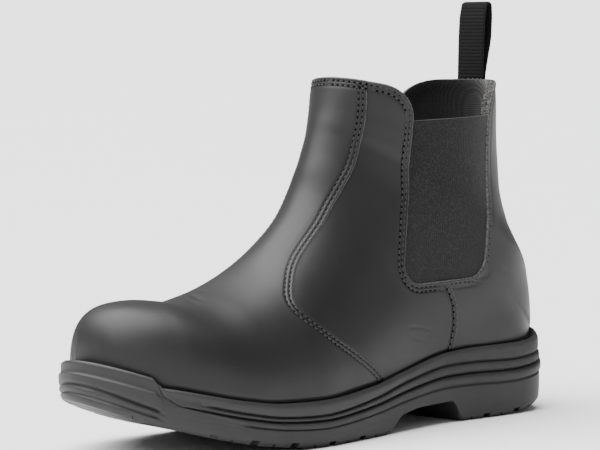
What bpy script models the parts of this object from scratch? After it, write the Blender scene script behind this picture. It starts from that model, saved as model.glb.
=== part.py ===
"""Slip-on work boot for the left foot, with a protective toe, elastic gores and a moulded two-layer sole.

Sizes are in millimetres, and each mesh is turned into metres as it is made. A place on the boot is written
as (station, across, height): station runs from the back of the heel to the tip of the toe, across is
positive on the outer side of the foot, and height is above the floor. In the scene the toe points along -Y,
the outer side of the foot is +X and up is +Z. The origin is on the floor, under the middle of the sole.
"""

from collections import namedtuple
from functools import partial

import bmesh
import bpy
import numpy as np

MM = 0.001
FIT_GAP = 0.3

# Driving sizes of the boot
SOLE_LENGTH = 306.0
BALL_WIDTH = 112.0
TOE_SPRING = 27.0
SPRING_START = 190.0
SPRING_POWER = 1.55
TOE_TILT, TILT_START = 0.1, 200.0
HEEL_LIFT = 6.5
HEEL_LIFT_LENGTH = 52.0
TOE_BOX_HEIGHT = 76.6
BEND_HEIGHT = 73.7
COLLAR_HEIGHT = 182.5
SHAFT_TOP = 188.0
COLLAR_BACK = 26.0
COLLAR_FRONT = 136.4
COLLAR_WIDTH = 85.0
LEATHER_WALL = 2.4

# Outline of the sole from above: shares of the sole length and of half the ball width
Plan = namedtuple("Plan", "station centre half_width")
PLAN = (
    Plan(0.00, 0.040, 0.755),
    Plan(0.13, 0.050, 0.757),
    Plan(0.29, 0.050, 0.710),
    Plan(0.42, 0.065, 0.770),
    Plan(0.55, 0.050, 0.910),
    Plan(0.67, 0.010, 1.000),
    Plan(0.77, -0.045, 0.985),
    Plan(0.88, -0.105, 0.908),
    Plan(1.00, -0.180, 0.810),
)
HEEL_ROUND, HEEL_POWER = 35.0, 2.45
TOE_ROUND, TOE_POWER = 64.0, 2.3

# Height of the sole's top edge along the foot, where the upper goes in
Lip = namedtuple("Lip", "station height")
LIP = (
    Lip(0.00, 45.0),
    Lip(0.06, 41.0),
    Lip(0.14, 39.3),
    Lip(0.21, 39.3),
    Lip(0.29, 38.2),
    Lip(0.39, 33.2),
    Lip(0.50, 27.2),
    Lip(0.64, 24.2),
    Lip(0.72, 24.8),
    Lip(0.80, 28.3),
    Lip(0.92, 36.8),
    Lip(1.00, 41.5),
)
BUMPER_START, BUMPER_FULL, BUMPER_RISE, BUMPER_TIP = 277.0, 286.0, 4.5, 5.0
CUP_DEPTH = 6.0

# Sections of the upper, each leaning from its base, on the sole's floor or on the back of the shaft,
# to its crown on the toe, instep or shin
Section = namedtuple("Section", "base base_height crown crown_height half_width widest roundness")
ON_SOLE = None
TOE_INSET, BACK_INSET, SIDE_INSET = 6.8, 3.0, 5.0
BULGE = 1.2
HEEL_FULLNESS, FULL_HEEL, FULL_HEEL_END = 0.8, 42.0, 82.0
HEEL_FRONT, HEEL_BACK = 60.0, 10.0
LIP_LEAN = 0.5
TOE_BOX_STATION = 267.0
TOE_BOX_POWER = 3.2
TOE_SPREAD, TOE_TIP_HALF = 1.02, 0.1
TOE_ROWS = 8
SECTIONS = (
    Section(TOE_BOX_STATION, ON_SOLE, TOE_BOX_STATION, TOE_BOX_HEIGHT, ON_SOLE, 0.25, 2.4),
    Section(244, ON_SOLE, 244, BEND_HEIGHT, ON_SOLE, 0.235, 2.3),
    Section(226, ON_SOLE, 226, BEND_HEIGHT + 3.5, ON_SOLE, 0.22, 2.2),
    Section(195, ON_SOLE, 202, BEND_HEIGHT + 13.9, ON_SOLE, 0.20, 2.0),
    Section(165, ON_SOLE, 183, BEND_HEIGHT + 28.2, 46.0, 0.20, 1.9),
    Section(130, ON_SOLE, 168.8, BEND_HEIGHT + 42.4, 41.0, 0.23, 1.95),
    Section(92, ON_SOLE, 161.0, BEND_HEIGHT + 54.2, 38.5, 0.280, 2.0),
    Section(50, ON_SOLE, 156.0, BEND_HEIGHT + 65.3, 38.9, 0.340, 2.0),
    Section(24, ON_SOLE, 153.0, BEND_HEIGHT + 71.3, 39.2, 0.395, 2.0),
    Section(8, ON_SOLE, 151.3, BEND_HEIGHT + 74.8, 39.4, 0.430, 2.0),
    Section(BACK_INSET, ON_SOLE, 150.7, BEND_HEIGHT + 76.1, 39.5, 0.440, 2.0),
    Section(1.8, 71, 147.4, BEND_HEIGHT + 83.3, 39.6, 0.420, 2.0),
    Section(15.4, 97, 145.0, BEND_HEIGHT + 89.3, 39.5, 0.425, 2.0),
    Section(22.8, 121, 142.6, BEND_HEIGHT + 95.3, 39.8, 0.450, 2.0),
    Section(24.5, 150, 139.8, BEND_HEIGHT + 103.8, 41.0, 0.480, 2.0),
    Section(COLLAR_BACK, SHAFT_TOP, COLLAR_FRONT, SHAFT_TOP, COLLAR_WIDTH / 2, 0.500, 2.0),
)
UPPER_COLUMNS = 27

# Seam where the vamp laps over the quarters, seen from the side, from the collar round to the sole
Seam = namedtuple("Seam", "station height")
VAMP_SEAM = (
    Seam(130.0, SHAFT_TOP + 2),
    Seam(132.0, 168.0),
    Seam(134.0, 156.5),
    Seam(138.5, 142.5),
    Seam(148.0, 128.5),
    Seam(162.0, 111.5),
    Seam(191.0, 84.0),
    Seam(198.4, 72.5),
    Seam(186.0, 59.0),
    Seam(165.0, 46.0),
    Seam(152.4, 37.8),
    Seam(142.5, 29.5),
)
OVERLAY_RISE, OVERLAY_SINK = 1.0, 0.8
STAY_FOOT, STAY_TOP, STAY_RISE = 22.0, 13.0, 0.8

# Collar line and the opening for the elastic, seen from the side: the opening runs up between two
# rounded lobes
Corner = namedtuple("Corner", "station height radius")
COLLAR_LINE = (
    Corner(-10.0, SHAFT_TOP + 8, 0),
    Corner(-10.0, COLLAR_HEIGHT - 1.5, 0),
    Corner(54.0, COLLAR_HEIGHT - 0.3, 24),
    Corner(58.5, 110.0, 60),
    Corner(62.0, 77.3, 13),
    Corner(122.5, 76.3, 10),
    Corner(112.0, 124.0, 50),
    Corner(109.4, COLLAR_HEIGHT - 4.5, 20),
    Corner(145.0, COLLAR_HEIGHT + 6.2, 0),
    Corner(145.0, SHAFT_TOP + 8, 0),
)
GORE_TOP_REAR, GORE_TOP_FRONT = 163.5, 162.0
GORE_SINK, GORE_THICKNESS = 0.9, 1.5

# Rings of the sole from the tread up: shares of its height at four places along the foot, and how far each
# ring is set in at the sides, round the toe and round the back
Ring = namedtuple("Ring", "heel arch ball toe side front back")
RINGS = (
    Ring(0.00, 0.00, 0.00, 0.00, 3.2, 3.5, 3.0),
    Ring(0.07, 0.07, 0.10, 0.09, 1.2, 1.2, 1.2),
    Ring(0.30, 0.34, 0.26, 0.20, 0.7, 0.6, 0.6),
    Ring(0.45, 0.50, 0.38, 0.25, 0.6, 1.6, 0.6),
    Ring(0.47, 0.52, 0.40, 0.31, 1.1, 0.3, 1.1),
    Ring(0.50, 0.55, 0.43, 0.39, 0.0, 0.2, 0.0),
    Ring(0.60, 0.64, 0.53, 0.45, 0.0, 1.5, 0.0),
    Ring(0.63, 0.67, 0.57, 0.51, 1.9, 0.0, 0.2),
    Ring(0.66, 0.70, 0.60, 0.66, 0.5, 0.0, 0.5),
    Ring(0.74, 0.79, 0.64, 0.70, 0.5, 0.9, 0.8),
    Ring(0.77, 0.82, 0.67, 0.76, 1.8, 1.1, 0.9),
    Ring(0.80, 0.85, 0.70, 0.82, 0.8, 1.2, 1.0),
    Ring(0.96, 0.96, 0.95, 0.96, 1.0, 1.4, 1.2),
    Ring(1.00, 1.00, 1.00, 1.00, 1.9, 2.2, 1.6),
)
PARTING_RING = 7
RING_PLACES = (40.0, 112.0, 205.0, 292.0)
RING_STATIONS = 45
CUP_TOP, CUP_FOOT = 2.1, 0.9
PARTING_BACK, PARTING_BACK_RUN, PARTING_TILT = 9.0, 7.0, 0.45

# Underside: the arch between heel and forefoot, and the grooves of the tread
ARCH = (
    Corner(80.0, -5.0, 0),
    Corner(80.0, 0.0, 0),
    Corner(87.0, 12.0, 4),
    Corner(118.0, 11.5, 20),
    Corner(132.0, 9.0, 8),
    Corner(142.0, 0.0, 0),
    Corner(142.0, -5.0, 0),
)
Groove = namedtuple("Groove", "station width")
TREAD_GROOVES = (
    Groove(39.5, 4.5),
    Groove(62.0, 4.5),
    Groove(166.0, 4.5),
    Groove(190.5, 4.5),
    Groove(216.0, 4.5),
    Groove(240.0, 4.5),
    Groove(262.0, 4.0),
    Groove(279.0, 3.5),
    Groove(293.0, 3.5),
)
GROOVE_DEPTH = 2.6
MIDDLE_GROOVE, MIDDLE_DEPTH = 6.0, 2.4

INSOLE_THICKNESS = 4.0
INSOLE_GAP, INSOLE_END_GAP = 1.3, 2.6

# Pull loop: the webbing's fold, seen from the side
Fold = namedtuple("Fold", "height middle half_depth")
LOOP = (
    Fold(158.0, 21.3, 1.6),
    Fold(182.0, 22.5, 1.6),
    Fold(194.0, 21.9, 2.6),
    Fold(206.0, 21.2, 3.6),
    Fold(214.0, 21.2, 3.6),
    Fold(221.6, 21.0, 2.7),
)
LOOP_WIDTH, LOOP_WEB, LOOP_ACROSS, LOOP_LEAN = 19.0, 1.5, -3.2, 0.08
LOOP_EYE = 190.0


def monotone(at, values, where):
    """Cubic curve through (at, values) that rises or falls only where the values do."""
    gap = np.diff(at)
    slope = np.diff(values, axis=0) / gap.reshape(-1, *[1] * (values.ndim - 1))
    same = slope[:-1] * slope[1:] > 0
    tangent = np.zeros_like(values)
    tangent[1:-1] = np.where(same, 2 * slope[:-1] * slope[1:] / np.where(same, slope[:-1] + slope[1:], 1), 0)
    tangent[0], tangent[-1] = slope[0], slope[-1]
    where = np.clip(np.asarray(where, float), at[0], at[-1])
    k = np.clip(np.searchsorted(at, where, side="right") - 1, 0, len(gap) - 1)
    shape = where.shape + (1,) * (values.ndim - 1)
    h = gap[k].reshape(shape)
    t = ((where - at[k]) / gap[k]).reshape(shape)
    return (
        values[k] * (1 + 2 * t) * (1 - t) ** 2
        + tangent[k] * h * t * (1 - t) ** 2
        + values[k + 1] * t**2 * (3 - 2 * t)
        + tangent[k + 1] * h * t**2 * (t - 1)
    )


def along(rows, column, share):
    """One column of a table as a smooth curve, read at shares of the sole length."""
    at = np.array([row.station for row in rows], float)
    return monotone(at, np.array([getattr(row, column) for row in rows], float), share)


def plan(station, side_inset=0.0, toe_inset=0.0, back_inset=0.0):
    """Centre and half width of the sole's outline, taken in at the sides, the toe and the back."""
    share = np.clip(np.asarray(station, float) / SOLE_LENGTH, 0, 1)
    centre = along(PLAN, "centre", share) * BALL_WIDTH / 2
    half = along(PLAN, "half_width", share) * BALL_WIDTH / 2 - side_inset
    to_back = np.clip((HEEL_ROUND + back_inset - station) / HEEL_ROUND, 0, 1)
    to_toe = np.clip((station - (SOLE_LENGTH - toe_inset - TOE_ROUND)) / TOE_ROUND, 0, 1)
    return centre, half * np.sqrt((1 - to_back**HEEL_POWER) * (1 - to_toe**TOE_POWER))


def ramp(value, start, end):
    """0 before start, 1 after end and a straight line between them."""
    return np.clip((value - start) / (end - start), 0, 1)


def tilt(station):
    """Slope of the tread across the boot, down towards the outer side: none under the foot, growing to the
    toe."""
    return TOE_TILT * ramp(station, TILT_START, SOLE_LENGTH)


def ground(station, across=0.0):
    """Height of the tread: flat under the foot, with toe spring in front and a small lift at the back."""
    spring = TOE_SPRING * ramp(station, SPRING_START, SOLE_LENGTH) ** SPRING_POWER
    return spring + HEEL_LIFT * ramp(-station, -HEEL_LIFT_LENGTH, 0) ** 1.5 - tilt(station) * across


def lip(station):
    """Height of the sole's top edge, without the toe bumper."""
    return along(LIP, "height", np.asarray(station, float) / SOLE_LENGTH)


def floor(station):
    """Height of the floor of the cup that the upper stands in."""
    return lip(station) - CUP_DEPTH


def section_rows():
    """The toe's rows, worked out from its dome, and the table's, as one array with the columns of Section.
    The widest place is kept as a distance from the crown, so that it does not jump where the base turns
    upwards."""
    tip = SOLE_LENGTH - TOE_INSET
    turn = np.linspace(0, np.pi / 2, TOE_ROWS, endpoint=False)
    toe = []
    for station in tip - (tip - TOE_BOX_STATION) * (1 - np.cos(turn)):
        reach = (station - TOE_BOX_STATION) / (tip - TOE_BOX_STATION)
        rise = (1 - reach**TOE_BOX_POWER) ** (1 / TOE_BOX_POWER)
        base = floor(station) + FIT_GAP
        crown = base + (TOE_BOX_HEIGHT - base) * rise
        half = plan(station, SIDE_INSET, TOE_INSET, BACK_INSET)[1] * TOE_SPREAD + TOE_TIP_HALF
        toe.append(Section(station, base, station, crown, half, SECTIONS[0].widest, SECTIONS[0].roundness))
    rest = []
    for row in SECTIONS:
        height = floor(row.base) + FIT_GAP if row.base_height is ON_SOLE else row.base_height
        half = plan(row.base, SIDE_INSET, TOE_INSET, BACK_INSET)[1] + BULGE
        rest.append(row._replace(base_height=height, half_width=row.half_width or half))
    rows = np.array(toe + rest, float)
    rows[:, 5] = (1 - rows[:, 5]) * np.hypot(rows[:, 2] - rows[:, 0], rows[:, 3] - rows[:, 1])
    return rows


ROWS = section_rows()
LEAN = ROWS[:, 2:4] - ROWS[:, 0:2] + (0, 1e-6)
LEAN = (LEAN[1:] + LEAN[:-1]) / np.linalg.norm(LEAN[1:] + LEAN[:-1], axis=1, keepdims=True)
MOVES = np.diff(ROWS[:, 0:4], axis=0)
SWEPT = np.abs(LEAN[:, :1] * MOVES[:, 1::2] - LEAN[:, 1:] * MOVES[:, 0::2]).sum(axis=1) + 0.5
ROW_PLACES = np.concatenate([[0], np.cumsum(SWEPT)]) / SWEPT.sum()
HEEL_ROW = TOE_ROWS + [row.base for row in SECTIONS].index(BACK_INSET)
HEEL_PLACE = ROW_PLACES[HEEL_ROW]


def section(v):
    """Section at each place v. The base is read in two runs, along the sole and up the back, because it turns
    a corner between them."""
    values = monotone(ROW_PLACES, ROWS, v)
    on_sole = monotone(ROW_PLACES[:HEEL_ROW + 1], ROWS[:HEEL_ROW + 1, :2], v)
    up_back = monotone(ROW_PLACES[HEEL_ROW:], ROWS[HEEL_ROW:, :2], v)
    values[..., :2] = np.where((v < HEEL_PLACE)[..., None], on_sole, up_back)
    return values


def skin(v, j):
    """Outer face of the upper. v runs from the toe's tip (0) to the collar (1), and j from the inner edge on
    the sole (-1) over the crown (0) to the outer edge (1). Above the heel the two edges meet at the back.
    Low at the heel the section is fuller, and near the sole's lip it keeps inside the lip."""
    base, base_height, crown, crown_height, half, reach, power = np.moveaxis(section(v), -1, 0)
    on_sole = v < HEEL_PLACE
    centre, base_half = plan(base, SIDE_INSET, TOE_INSET, BACK_INSET)
    base_half = np.where(on_sole, base_half, 0)
    base_height = np.where(on_sole, floor(base) + FIT_GAP, base_height)
    half = np.maximum(half, base_half)
    length = np.hypot(crown - base, crown_height - base_height)
    widest = np.clip(1 - reach / np.maximum(length, 1e-6), 0.1, 0.9)
    t = (1 + np.cos(np.pi * j)) / 2
    up = np.clip((t - widest) / (1 - widest), 0, 1)
    down = np.clip((widest - t) / widest, 0, 1)
    front = half * (1 - up**power) ** (1 / power)
    blunt = ramp(-base_height, -FULL_HEEL_END, -FULL_HEEL) * ramp(-base, -HEEL_FRONT, -HEEL_BACK)
    blunt = 2 + HEEL_FULLNESS * blunt
    fade = 1 / blunt + (1 - 1 / blunt) * base_half / half
    back = base_half + (half - base_half) * (1 - down**blunt) ** fade
    station, height = base + (crown - base) * t, base_height + (crown_height - base_height) * t
    room = plan(station, SIDE_INSET, TOE_INSET, BACK_INSET)[1] * TOE_SPREAD + TOE_TIP_HALF
    room = room + LIP_LEAN * np.maximum(height - lip(station), 0)
    across = centre + np.sign(j) * np.minimum(np.where(t > widest, front, back), room)
    return np.stack([station, across, height], -1)


def normals(v, j):
    """Outward direction of the upper's face, from small steps along it and around it."""
    v = np.clip(v, 0.004, 0.996)
    j = np.clip(j, -0.975, 0.975)
    forward = skin(v + 0.003, j) - skin(v - 0.003, j)
    around = skin(v, j + 0.01) - skin(v, j - 0.01)
    outward = np.cross(around, forward)
    return outward / np.linalg.norm(outward, axis=-1, keepdims=True)


def layer(v, j, lift):
    """Face at a distance outside the upper's own, kept above the floor of the cup. The toe's tip and the two
    edges at the back are each drawn together, because the face is closed there."""
    points = skin(v, j) + lift * normals(v, j)
    points[..., 2] = np.maximum(points[..., 2], floor(points[..., 0]) + FIT_GAP)
    points[v[:, 0] == 0] = points[v[:, 0] == 0].mean(axis=1, keepdims=True)
    closed = v[:, 0] >= HEEL_PLACE
    seam = (points[closed, 0] + points[closed, -1]) / 2
    if np.all(np.abs(j[0, [0, -1]]) == 1):
        points[closed, 0] = seam
        points[closed, -1] = seam
    return points


def through(rows, count):
    """Smooth curve through the rows of a table, as an even run of points."""
    points = np.array([row[:2] for row in rows], float)
    places = np.concatenate([[0], np.cumsum(np.hypot(*np.diff(points, axis=0).T))])
    return monotone(places, points, np.linspace(0, places[-1], count))


def rounded(corners, steps=7):
    """Closed outline through corners, each one turned into an arc of its radius."""
    points = np.array([corner[:2] for corner in corners], float)
    before = np.roll(points, 1, axis=0) - points
    after = np.roll(points, -1, axis=0) - points
    outline = []
    for corner, back, ahead, row in zip(points, before, after, corners):
        if row.radius == 0:
            outline.append(corner)
            continue
        back = back / np.linalg.norm(back)
        ahead = ahead / np.linalg.norm(ahead)
        half_turn = np.arccos(np.clip(back @ ahead, -1, 1)) / 2
        reach = row.radius / np.tan(half_turn)
        inward = (back + ahead) / np.linalg.norm(back + ahead)
        middle = corner + inward * row.radius / np.sin(half_turn)
        share = np.linspace(0, 1, steps)[:, None]
        chord = corner + reach * (back * (1 - share) + ahead * share) - middle
        outline.extend(middle + row.radius * chord / np.linalg.norm(chord, axis=1, keepdims=True))
    return np.array(outline)


def drawn_in(outline, distance):
    """A closed outline moved towards its inside by a distance."""
    ahead = np.roll(outline, -1, axis=0) - outline
    ahead = ahead / np.linalg.norm(ahead, axis=1, keepdims=True)
    along_it = ahead + np.roll(ahead, 1, axis=0)
    along_it = along_it / np.linalg.norm(along_it, axis=1, keepdims=True)
    following = np.roll(outline, -1, axis=0)
    turn = np.sign(np.sum(outline[:, 0] * following[:, 1] - outline[:, 1] * following[:, 0]))
    return outline + distance * turn * np.stack([-along_it[:, 1], along_it[:, 0]], 1)


OUTLINE_STATIONS = np.linspace(0, SOLE_LENGTH, 200)
OUTLINE_CENTRES, OUTLINE_HALVES = plan(OUTLINE_STATIONS)
ACROSS_MIDDLE = ((OUTLINE_CENTRES + OUTLINE_HALVES).max() + (OUTLINE_CENTRES - OUTLINE_HALVES).min()) / 2

# Making meshes


def solid(name, points, faces):
    """Object made of points in millimetres and faces, with points that share a place joined."""
    station, across, height = np.reshape(points, (-1, 3)).T
    placed = np.stack([across - ACROSS_MIDDLE, SOLE_LENGTH / 2 - station, height], -1) * MM
    mesh = bpy.data.meshes.new(name)
    mesh.from_pydata(placed.tolist(), [], [tuple(int(corner) for corner in face) for face in faces])
    body = bmesh.new()
    body.from_mesh(mesh)
    bmesh.ops.remove_doubles(body, verts=body.verts, dist=1e-7)
    bmesh.ops.triangulate(body, faces=[face for face in body.faces if len(face.verts) > 4])
    bmesh.ops.recalc_face_normals(body, faces=body.faces)
    body.to_mesh(mesh)
    body.free()
    item = bpy.data.objects.new(name, mesh)
    bpy.context.scene.collection.objects.link(item)
    return item


def quads(index):
    """Faces of a grid of point numbers."""
    return np.stack([index[:-1, :-1], index[:-1, 1:], index[1:, 1:], index[1:, :-1]], -1).reshape(-1, 4)


def ribbon(near, far):
    """Faces between two runs of point numbers."""
    return quads(np.stack([near, far]))


def shell(name, outer, inner, open_rows, first_edge=False):
    """Solid between two grids of points. Its side edges are closed over the first rows only, where the face
    does not close on itself."""
    rows, columns = outer.shape[:2]
    over = np.arange(rows * columns).reshape(rows, columns)
    under = over + rows * columns
    faces = [quads(over), quads(under), ribbon(over[-1], under[-1])]
    faces += [ribbon(over[:open_rows, side], under[:open_rows, side]) for side in (0, -1)]
    if first_edge:
        faces.append(ribbon(over[0], under[0]))
    return solid(name, np.concatenate([outer.reshape(-1, 3), inner.reshape(-1, 3)]), np.concatenate(faces))


def prism(name, outlines, start, end, seen_from="side", lean=0.0, tilted=0.0):
    """Closed outlines carried straight through the boot. Seen from the side they are (station, height)
    carried across, and seen from the back they are (across, height) carried along the stations. A leaning
    prism moves across by its lean for each millimetre above the collar, and a tilted one follows that share
    of the tread's tilt."""
    points, faces = [], []
    for outline in outlines:
        count = len(outline)
        near = np.arange(count) + sum(len(block) for block in points)
        loop = np.append(near, near[0])
        faces += [tuple(near), tuple(near + count)] + [tuple(face) for face in ribbon(loop, loop + count)]
        first, height = np.asarray(outline, float).T
        ends = np.repeat([float(start), float(end)], count)
        first, height = np.tile(first, 2), np.tile(height, 2)
        ends = ends + lean * (height - COLLAR_HEIGHT)
        height = height - tilted * tilt(first) * ends
        points.append(np.stack([first, ends, height] if seen_from == "side" else [ends, first, height], -1))
    return solid(name, np.concatenate(points), faces)


def combine(item, operation, tool):
    """Boolean of an object with a tool that is itself hidden."""
    step = item.modifiers.new(tool.name, "BOOLEAN")
    step.operation = operation
    step.solver = "EXACT"
    step.object = tool
    tool.hide_render = True
    tool.display_type = "WIRE"


def coloured(item, name, colour, roughness):
    """Give an object its own material."""
    material = bpy.data.materials.new(name)
    material.use_nodes = True
    surface = material.node_tree.nodes["Principled BSDF"]
    surface.inputs["Base Color"].default_value = (*colour, 1)
    surface.inputs["Roughness"].default_value = roughness
    item.data.materials.append(material)


def sole_top(station):
    """Height of the sole's top edge, with the toe bumper."""
    rise = BUMPER_RISE * ramp(station, BUMPER_START, BUMPER_FULL)
    return lip(station) + rise + BUMPER_TIP * ramp(station, BUMPER_FULL, SOLE_LENGTH)


def ring_height(row, station, across=0.0):
    """Height of one ring of the sole: a share, read between the four places, of the height there."""
    at = np.array(RING_PLACES)
    share = monotone(at, np.array(row[:4], float), station)
    return ground(station, across) + share * (sole_top(station) - ground(station, across))


def level_across(line, station, across, rise=0.0):
    """Height of a line along the foot, with a rise over it, the same all across the boot."""
    return line(station) + rise + 0 * across


def ring_points(station_share, side, front, back, height, turning=True):
    """Points round the sole at one height, outer side from heel to toe and then inner side back. The inset
    turns from the side's to the front's and the back's near the ends, unless it is told to keep to the
    side's."""
    station = back + (SOLE_LENGTH - front - back) * station_share
    to_front = turning * ramp(station, BUMPER_START - 6, BUMPER_FULL)
    to_back = turning * ramp(-station, -14.0, -6.0)
    centre, half = plan(station, side + (front - side) * to_front + (back - side) * to_back, front, back)
    outer_side = np.stack([station, centre + half, height(station, centre + half)], -1)
    inner_side = np.stack([station, centre - half, height(station, centre - half)], -1)[-2:0:-1]
    return np.concatenate([outer_side, inner_side])


def sole_block(name):
    """The whole sole as one block, with the cup in its top that the upper stands in."""
    share = (1 - np.cos(np.linspace(0, np.pi, RING_STATIONS))) / 2
    rings = [
        ring_points(share, row.side, row.front, row.back, partial(ring_height, row))
        for row in RINGS
    ]
    for gap, height in ((CUP_TOP, sole_top), (CUP_FOOT, floor)):
        insets = SIDE_INSET - gap, TOE_INSET - gap, BACK_INSET - CUP_FOOT
        rings.append(ring_points(share, *insets, partial(level_across, height), False))
    return lofted(name, np.array(rings))


def lofted(name, rings):
    """Solid skinned over rings, its two ends closed by rungs from the outer side to the inner side."""
    count, around = rings.shape[:2]
    index = np.arange(count * around).reshape(count, around)
    faces = [tuple(face) for face in quads(np.concatenate([index, index[:, :1]], axis=1))]
    stations = around // 2 + 1
    for ring in (index[0], index[-1]):
        outer_side = ring[:stations]
        inner_side = np.concatenate([ring[:1], ring[:stations - 2:-1]])
        faces += [tuple(dict.fromkeys(face)) for face in ribbon(outer_side, inner_side)]
    return solid(name, rings, faces)


def parting(offset):
    """Line between outsole and midsole, seen from the side. It rises to the top edge at both ends."""
    station = np.linspace(PARTING_BACK, BUMPER_FULL, 70)
    groove = ring_height(RINGS[PARTING_RING], station)
    climb = np.maximum(ramp(-station, -PARTING_BACK - PARTING_BACK_RUN, -PARTING_BACK) ** 3, 0)
    toe_climb = ramp(station, BUMPER_START, BUMPER_FULL)
    line = groove + (sole_top(station) + 3 - groove) * np.maximum(climb, toe_climb)
    slope = np.gradient(line, station)
    normal = np.stack([-slope, np.ones_like(slope)], -1) / np.hypot(1, slope)[:, None]
    return np.stack([station, line], -1) + offset * normal


for thing in list(bpy.data.objects):
    bpy.data.objects.remove(thing, do_unlink=True)

WIDE = BALL_WIDTH
BEHIND, AHEAD = -20.0, SOLE_LENGTH + 24
UNDER, OVER_SOLE = -20.0, 80.0

# Outsole: tread, heel, toe bumper and the wall up the back of the heel
outsole = sole_block("outsole")
lower_line = parting(-FIT_GAP / 2)
below = [
    (BEHIND, UNDER), (AHEAD, UNDER), (AHEAD, OVER_SOLE), (lower_line[-1][0], OVER_SOLE),
    *lower_line[::-1], (lower_line[0][0], OVER_SOLE), (BEHIND, OVER_SOLE),
]
combine(outsole, "INTERSECT", prism("outsole_side", [below], -WIDE, WIDE, tilted=PARTING_TILT))
combine(outsole, "DIFFERENCE", prism("arch_cut", [rounded(ARCH)], -WIDE, WIDE))
grooves = [
    [(g.station - g.width / 2, UNDER), (g.station + g.width / 2, UNDER),
     (g.station + g.width / 2, ground(g.station + g.width / 2) + GROOVE_DEPTH),
     (g.station - g.width / 2, ground(g.station - g.width / 2) + GROOVE_DEPTH)]
    for g in TREAD_GROOVES
]
combine(outsole, "DIFFERENCE", prism("tread_grooves", grooves, -WIDE, WIDE, tilted=1.0))
middle_groove = [
    (-MIDDLE_GROOVE / 2, UNDER), (MIDDLE_GROOVE / 2, UNDER),
    (MIDDLE_GROOVE / 2, MIDDLE_DEPTH), (-MIDDLE_GROOVE / 2, MIDDLE_DEPTH),
]
combine(outsole, "DIFFERENCE", prism("middle_groove", [middle_groove], BEHIND, AHEAD, "back"))
coloured(outsole, "outsole_rubber", (0.035, 0.034, 0.034), 0.6)

# Midsole: moulded side panels and the bed between them
midsole = sole_block("midsole")
upper_line = parting(FIT_GAP / 2)
above = [*upper_line, (upper_line[-1][0], OVER_SOLE), (upper_line[0][0], OVER_SOLE)]
combine(midsole, "INTERSECT", prism("midsole_side", [above], -WIDE, WIDE, tilted=PARTING_TILT))
coloured(midsole, "midsole_rubber", (0.04, 0.039, 0.039), 0.65)

# Insole: a plain board on the bed of the cup, inside the upper
share = (1 - np.cos(np.linspace(0, np.pi, RING_STATIONS))) / 2
inset, end_inset = LEATHER_WALL + INSOLE_GAP, LEATHER_WALL + INSOLE_END_GAP
insets = SIDE_INSET + inset, TOE_INSET + end_inset, BACK_INSET + end_inset
insole_rings = [
    ring_points(share, *insets, partial(level_across, floor, rise=rise), False)
    for rise in (FIT_GAP, FIT_GAP + INSOLE_THICKNESS)
]
insole = lofted("insole", np.array(insole_rings))
coloured(insole, "insole_board", (0.05, 0.05, 0.05), 0.9)

# Upper: one leather wall, raised by one step over the vamp and by another down the back, and cut open at
# the gores
between_rows = (ROW_PLACES[TOE_ROWS:-1] + ROW_PLACES[TOE_ROWS + 1:]) / 2
upper_rows = np.unique(np.concatenate([ROW_PLACES, between_rows]))
v, j = np.meshgrid(upper_rows, np.linspace(-1, 1, UPPER_COLUMNS), indexing="ij")
on_sole = int(np.sum(upper_rows <= HEEL_PLACE))
upper = shell("upper", layer(v, j, 0), layer(v, j, -LEATHER_WALL), on_sole)
seam = through(VAMP_SEAM, 40)
lower_edge = np.linspace(seam[-1, 0] + 1, SOLE_LENGTH + 5, 50)
vamp_side = [*seam, *np.stack([lower_edge, sole_top(lower_edge) + 0.6], -1), (SOLE_LENGTH + 5, SHAFT_TOP + 2)]
vamp = shell("vamp_lap", layer(v, j, OVERLAY_RISE), layer(v, j, -OVERLAY_SINK), on_sole)
combine(vamp, "INTERSECT", prism("vamp_side", [vamp_side], -WIDE, WIDE))
combine(upper, "UNION", vamp)
stay = shell("back_stay", layer(v, j, STAY_RISE), layer(v, j, -OVERLAY_SINK), on_sole)
back_centre = float(plan(BACK_INSET, SIDE_INSET)[0])
stay_back = [
    (back_centre - STAY_FOOT, sole_top(0) + 1.5), (back_centre + STAY_FOOT, sole_top(0) + 1.5),
    (back_centre + STAY_TOP, SHAFT_TOP + 2), (back_centre - STAY_TOP, SHAFT_TOP + 2),
]
combine(stay, "INTERSECT", prism("stay_back", [stay_back], -20, 50, "back"))
combine(upper, "UNION", stay)
collar_line = rounded(COLLAR_LINE)
combine(upper, "DIFFERENCE", prism("collar_cut", [collar_line], -WIDE, WIDE))
coloured(upper, "upper_leather", (0.02, 0.02, 0.021), 0.42)

# Gores: an elastic panel in each opening, a little below the leather
panel = drawn_in(collar_line, FIT_GAP)
below_top = [(30, 60), (140, 60), (140, GORE_TOP_FRONT), (30, GORE_TOP_REAR)]
for side, name in ((1, "gore_lateral"), (-1, "gore_medial")):
    v, j = np.meshgrid(np.linspace(0.50, 0.99, 20), side * np.linspace(0.26, 0.76, 13), indexing="ij")
    gore = shell(name, layer(v, j, -GORE_SINK), layer(v, j, -GORE_SINK - GORE_THICKNESS), len(v), True)
    combine(gore, "INTERSECT", prism(name + "_side", [panel], -WIDE, WIDE))
    combine(gore, "INTERSECT", prism(name + "_top", [below_top], -WIDE, WIDE))
    coloured(gore, name + "_elastic", (0.018, 0.018, 0.019), 0.95)

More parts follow.
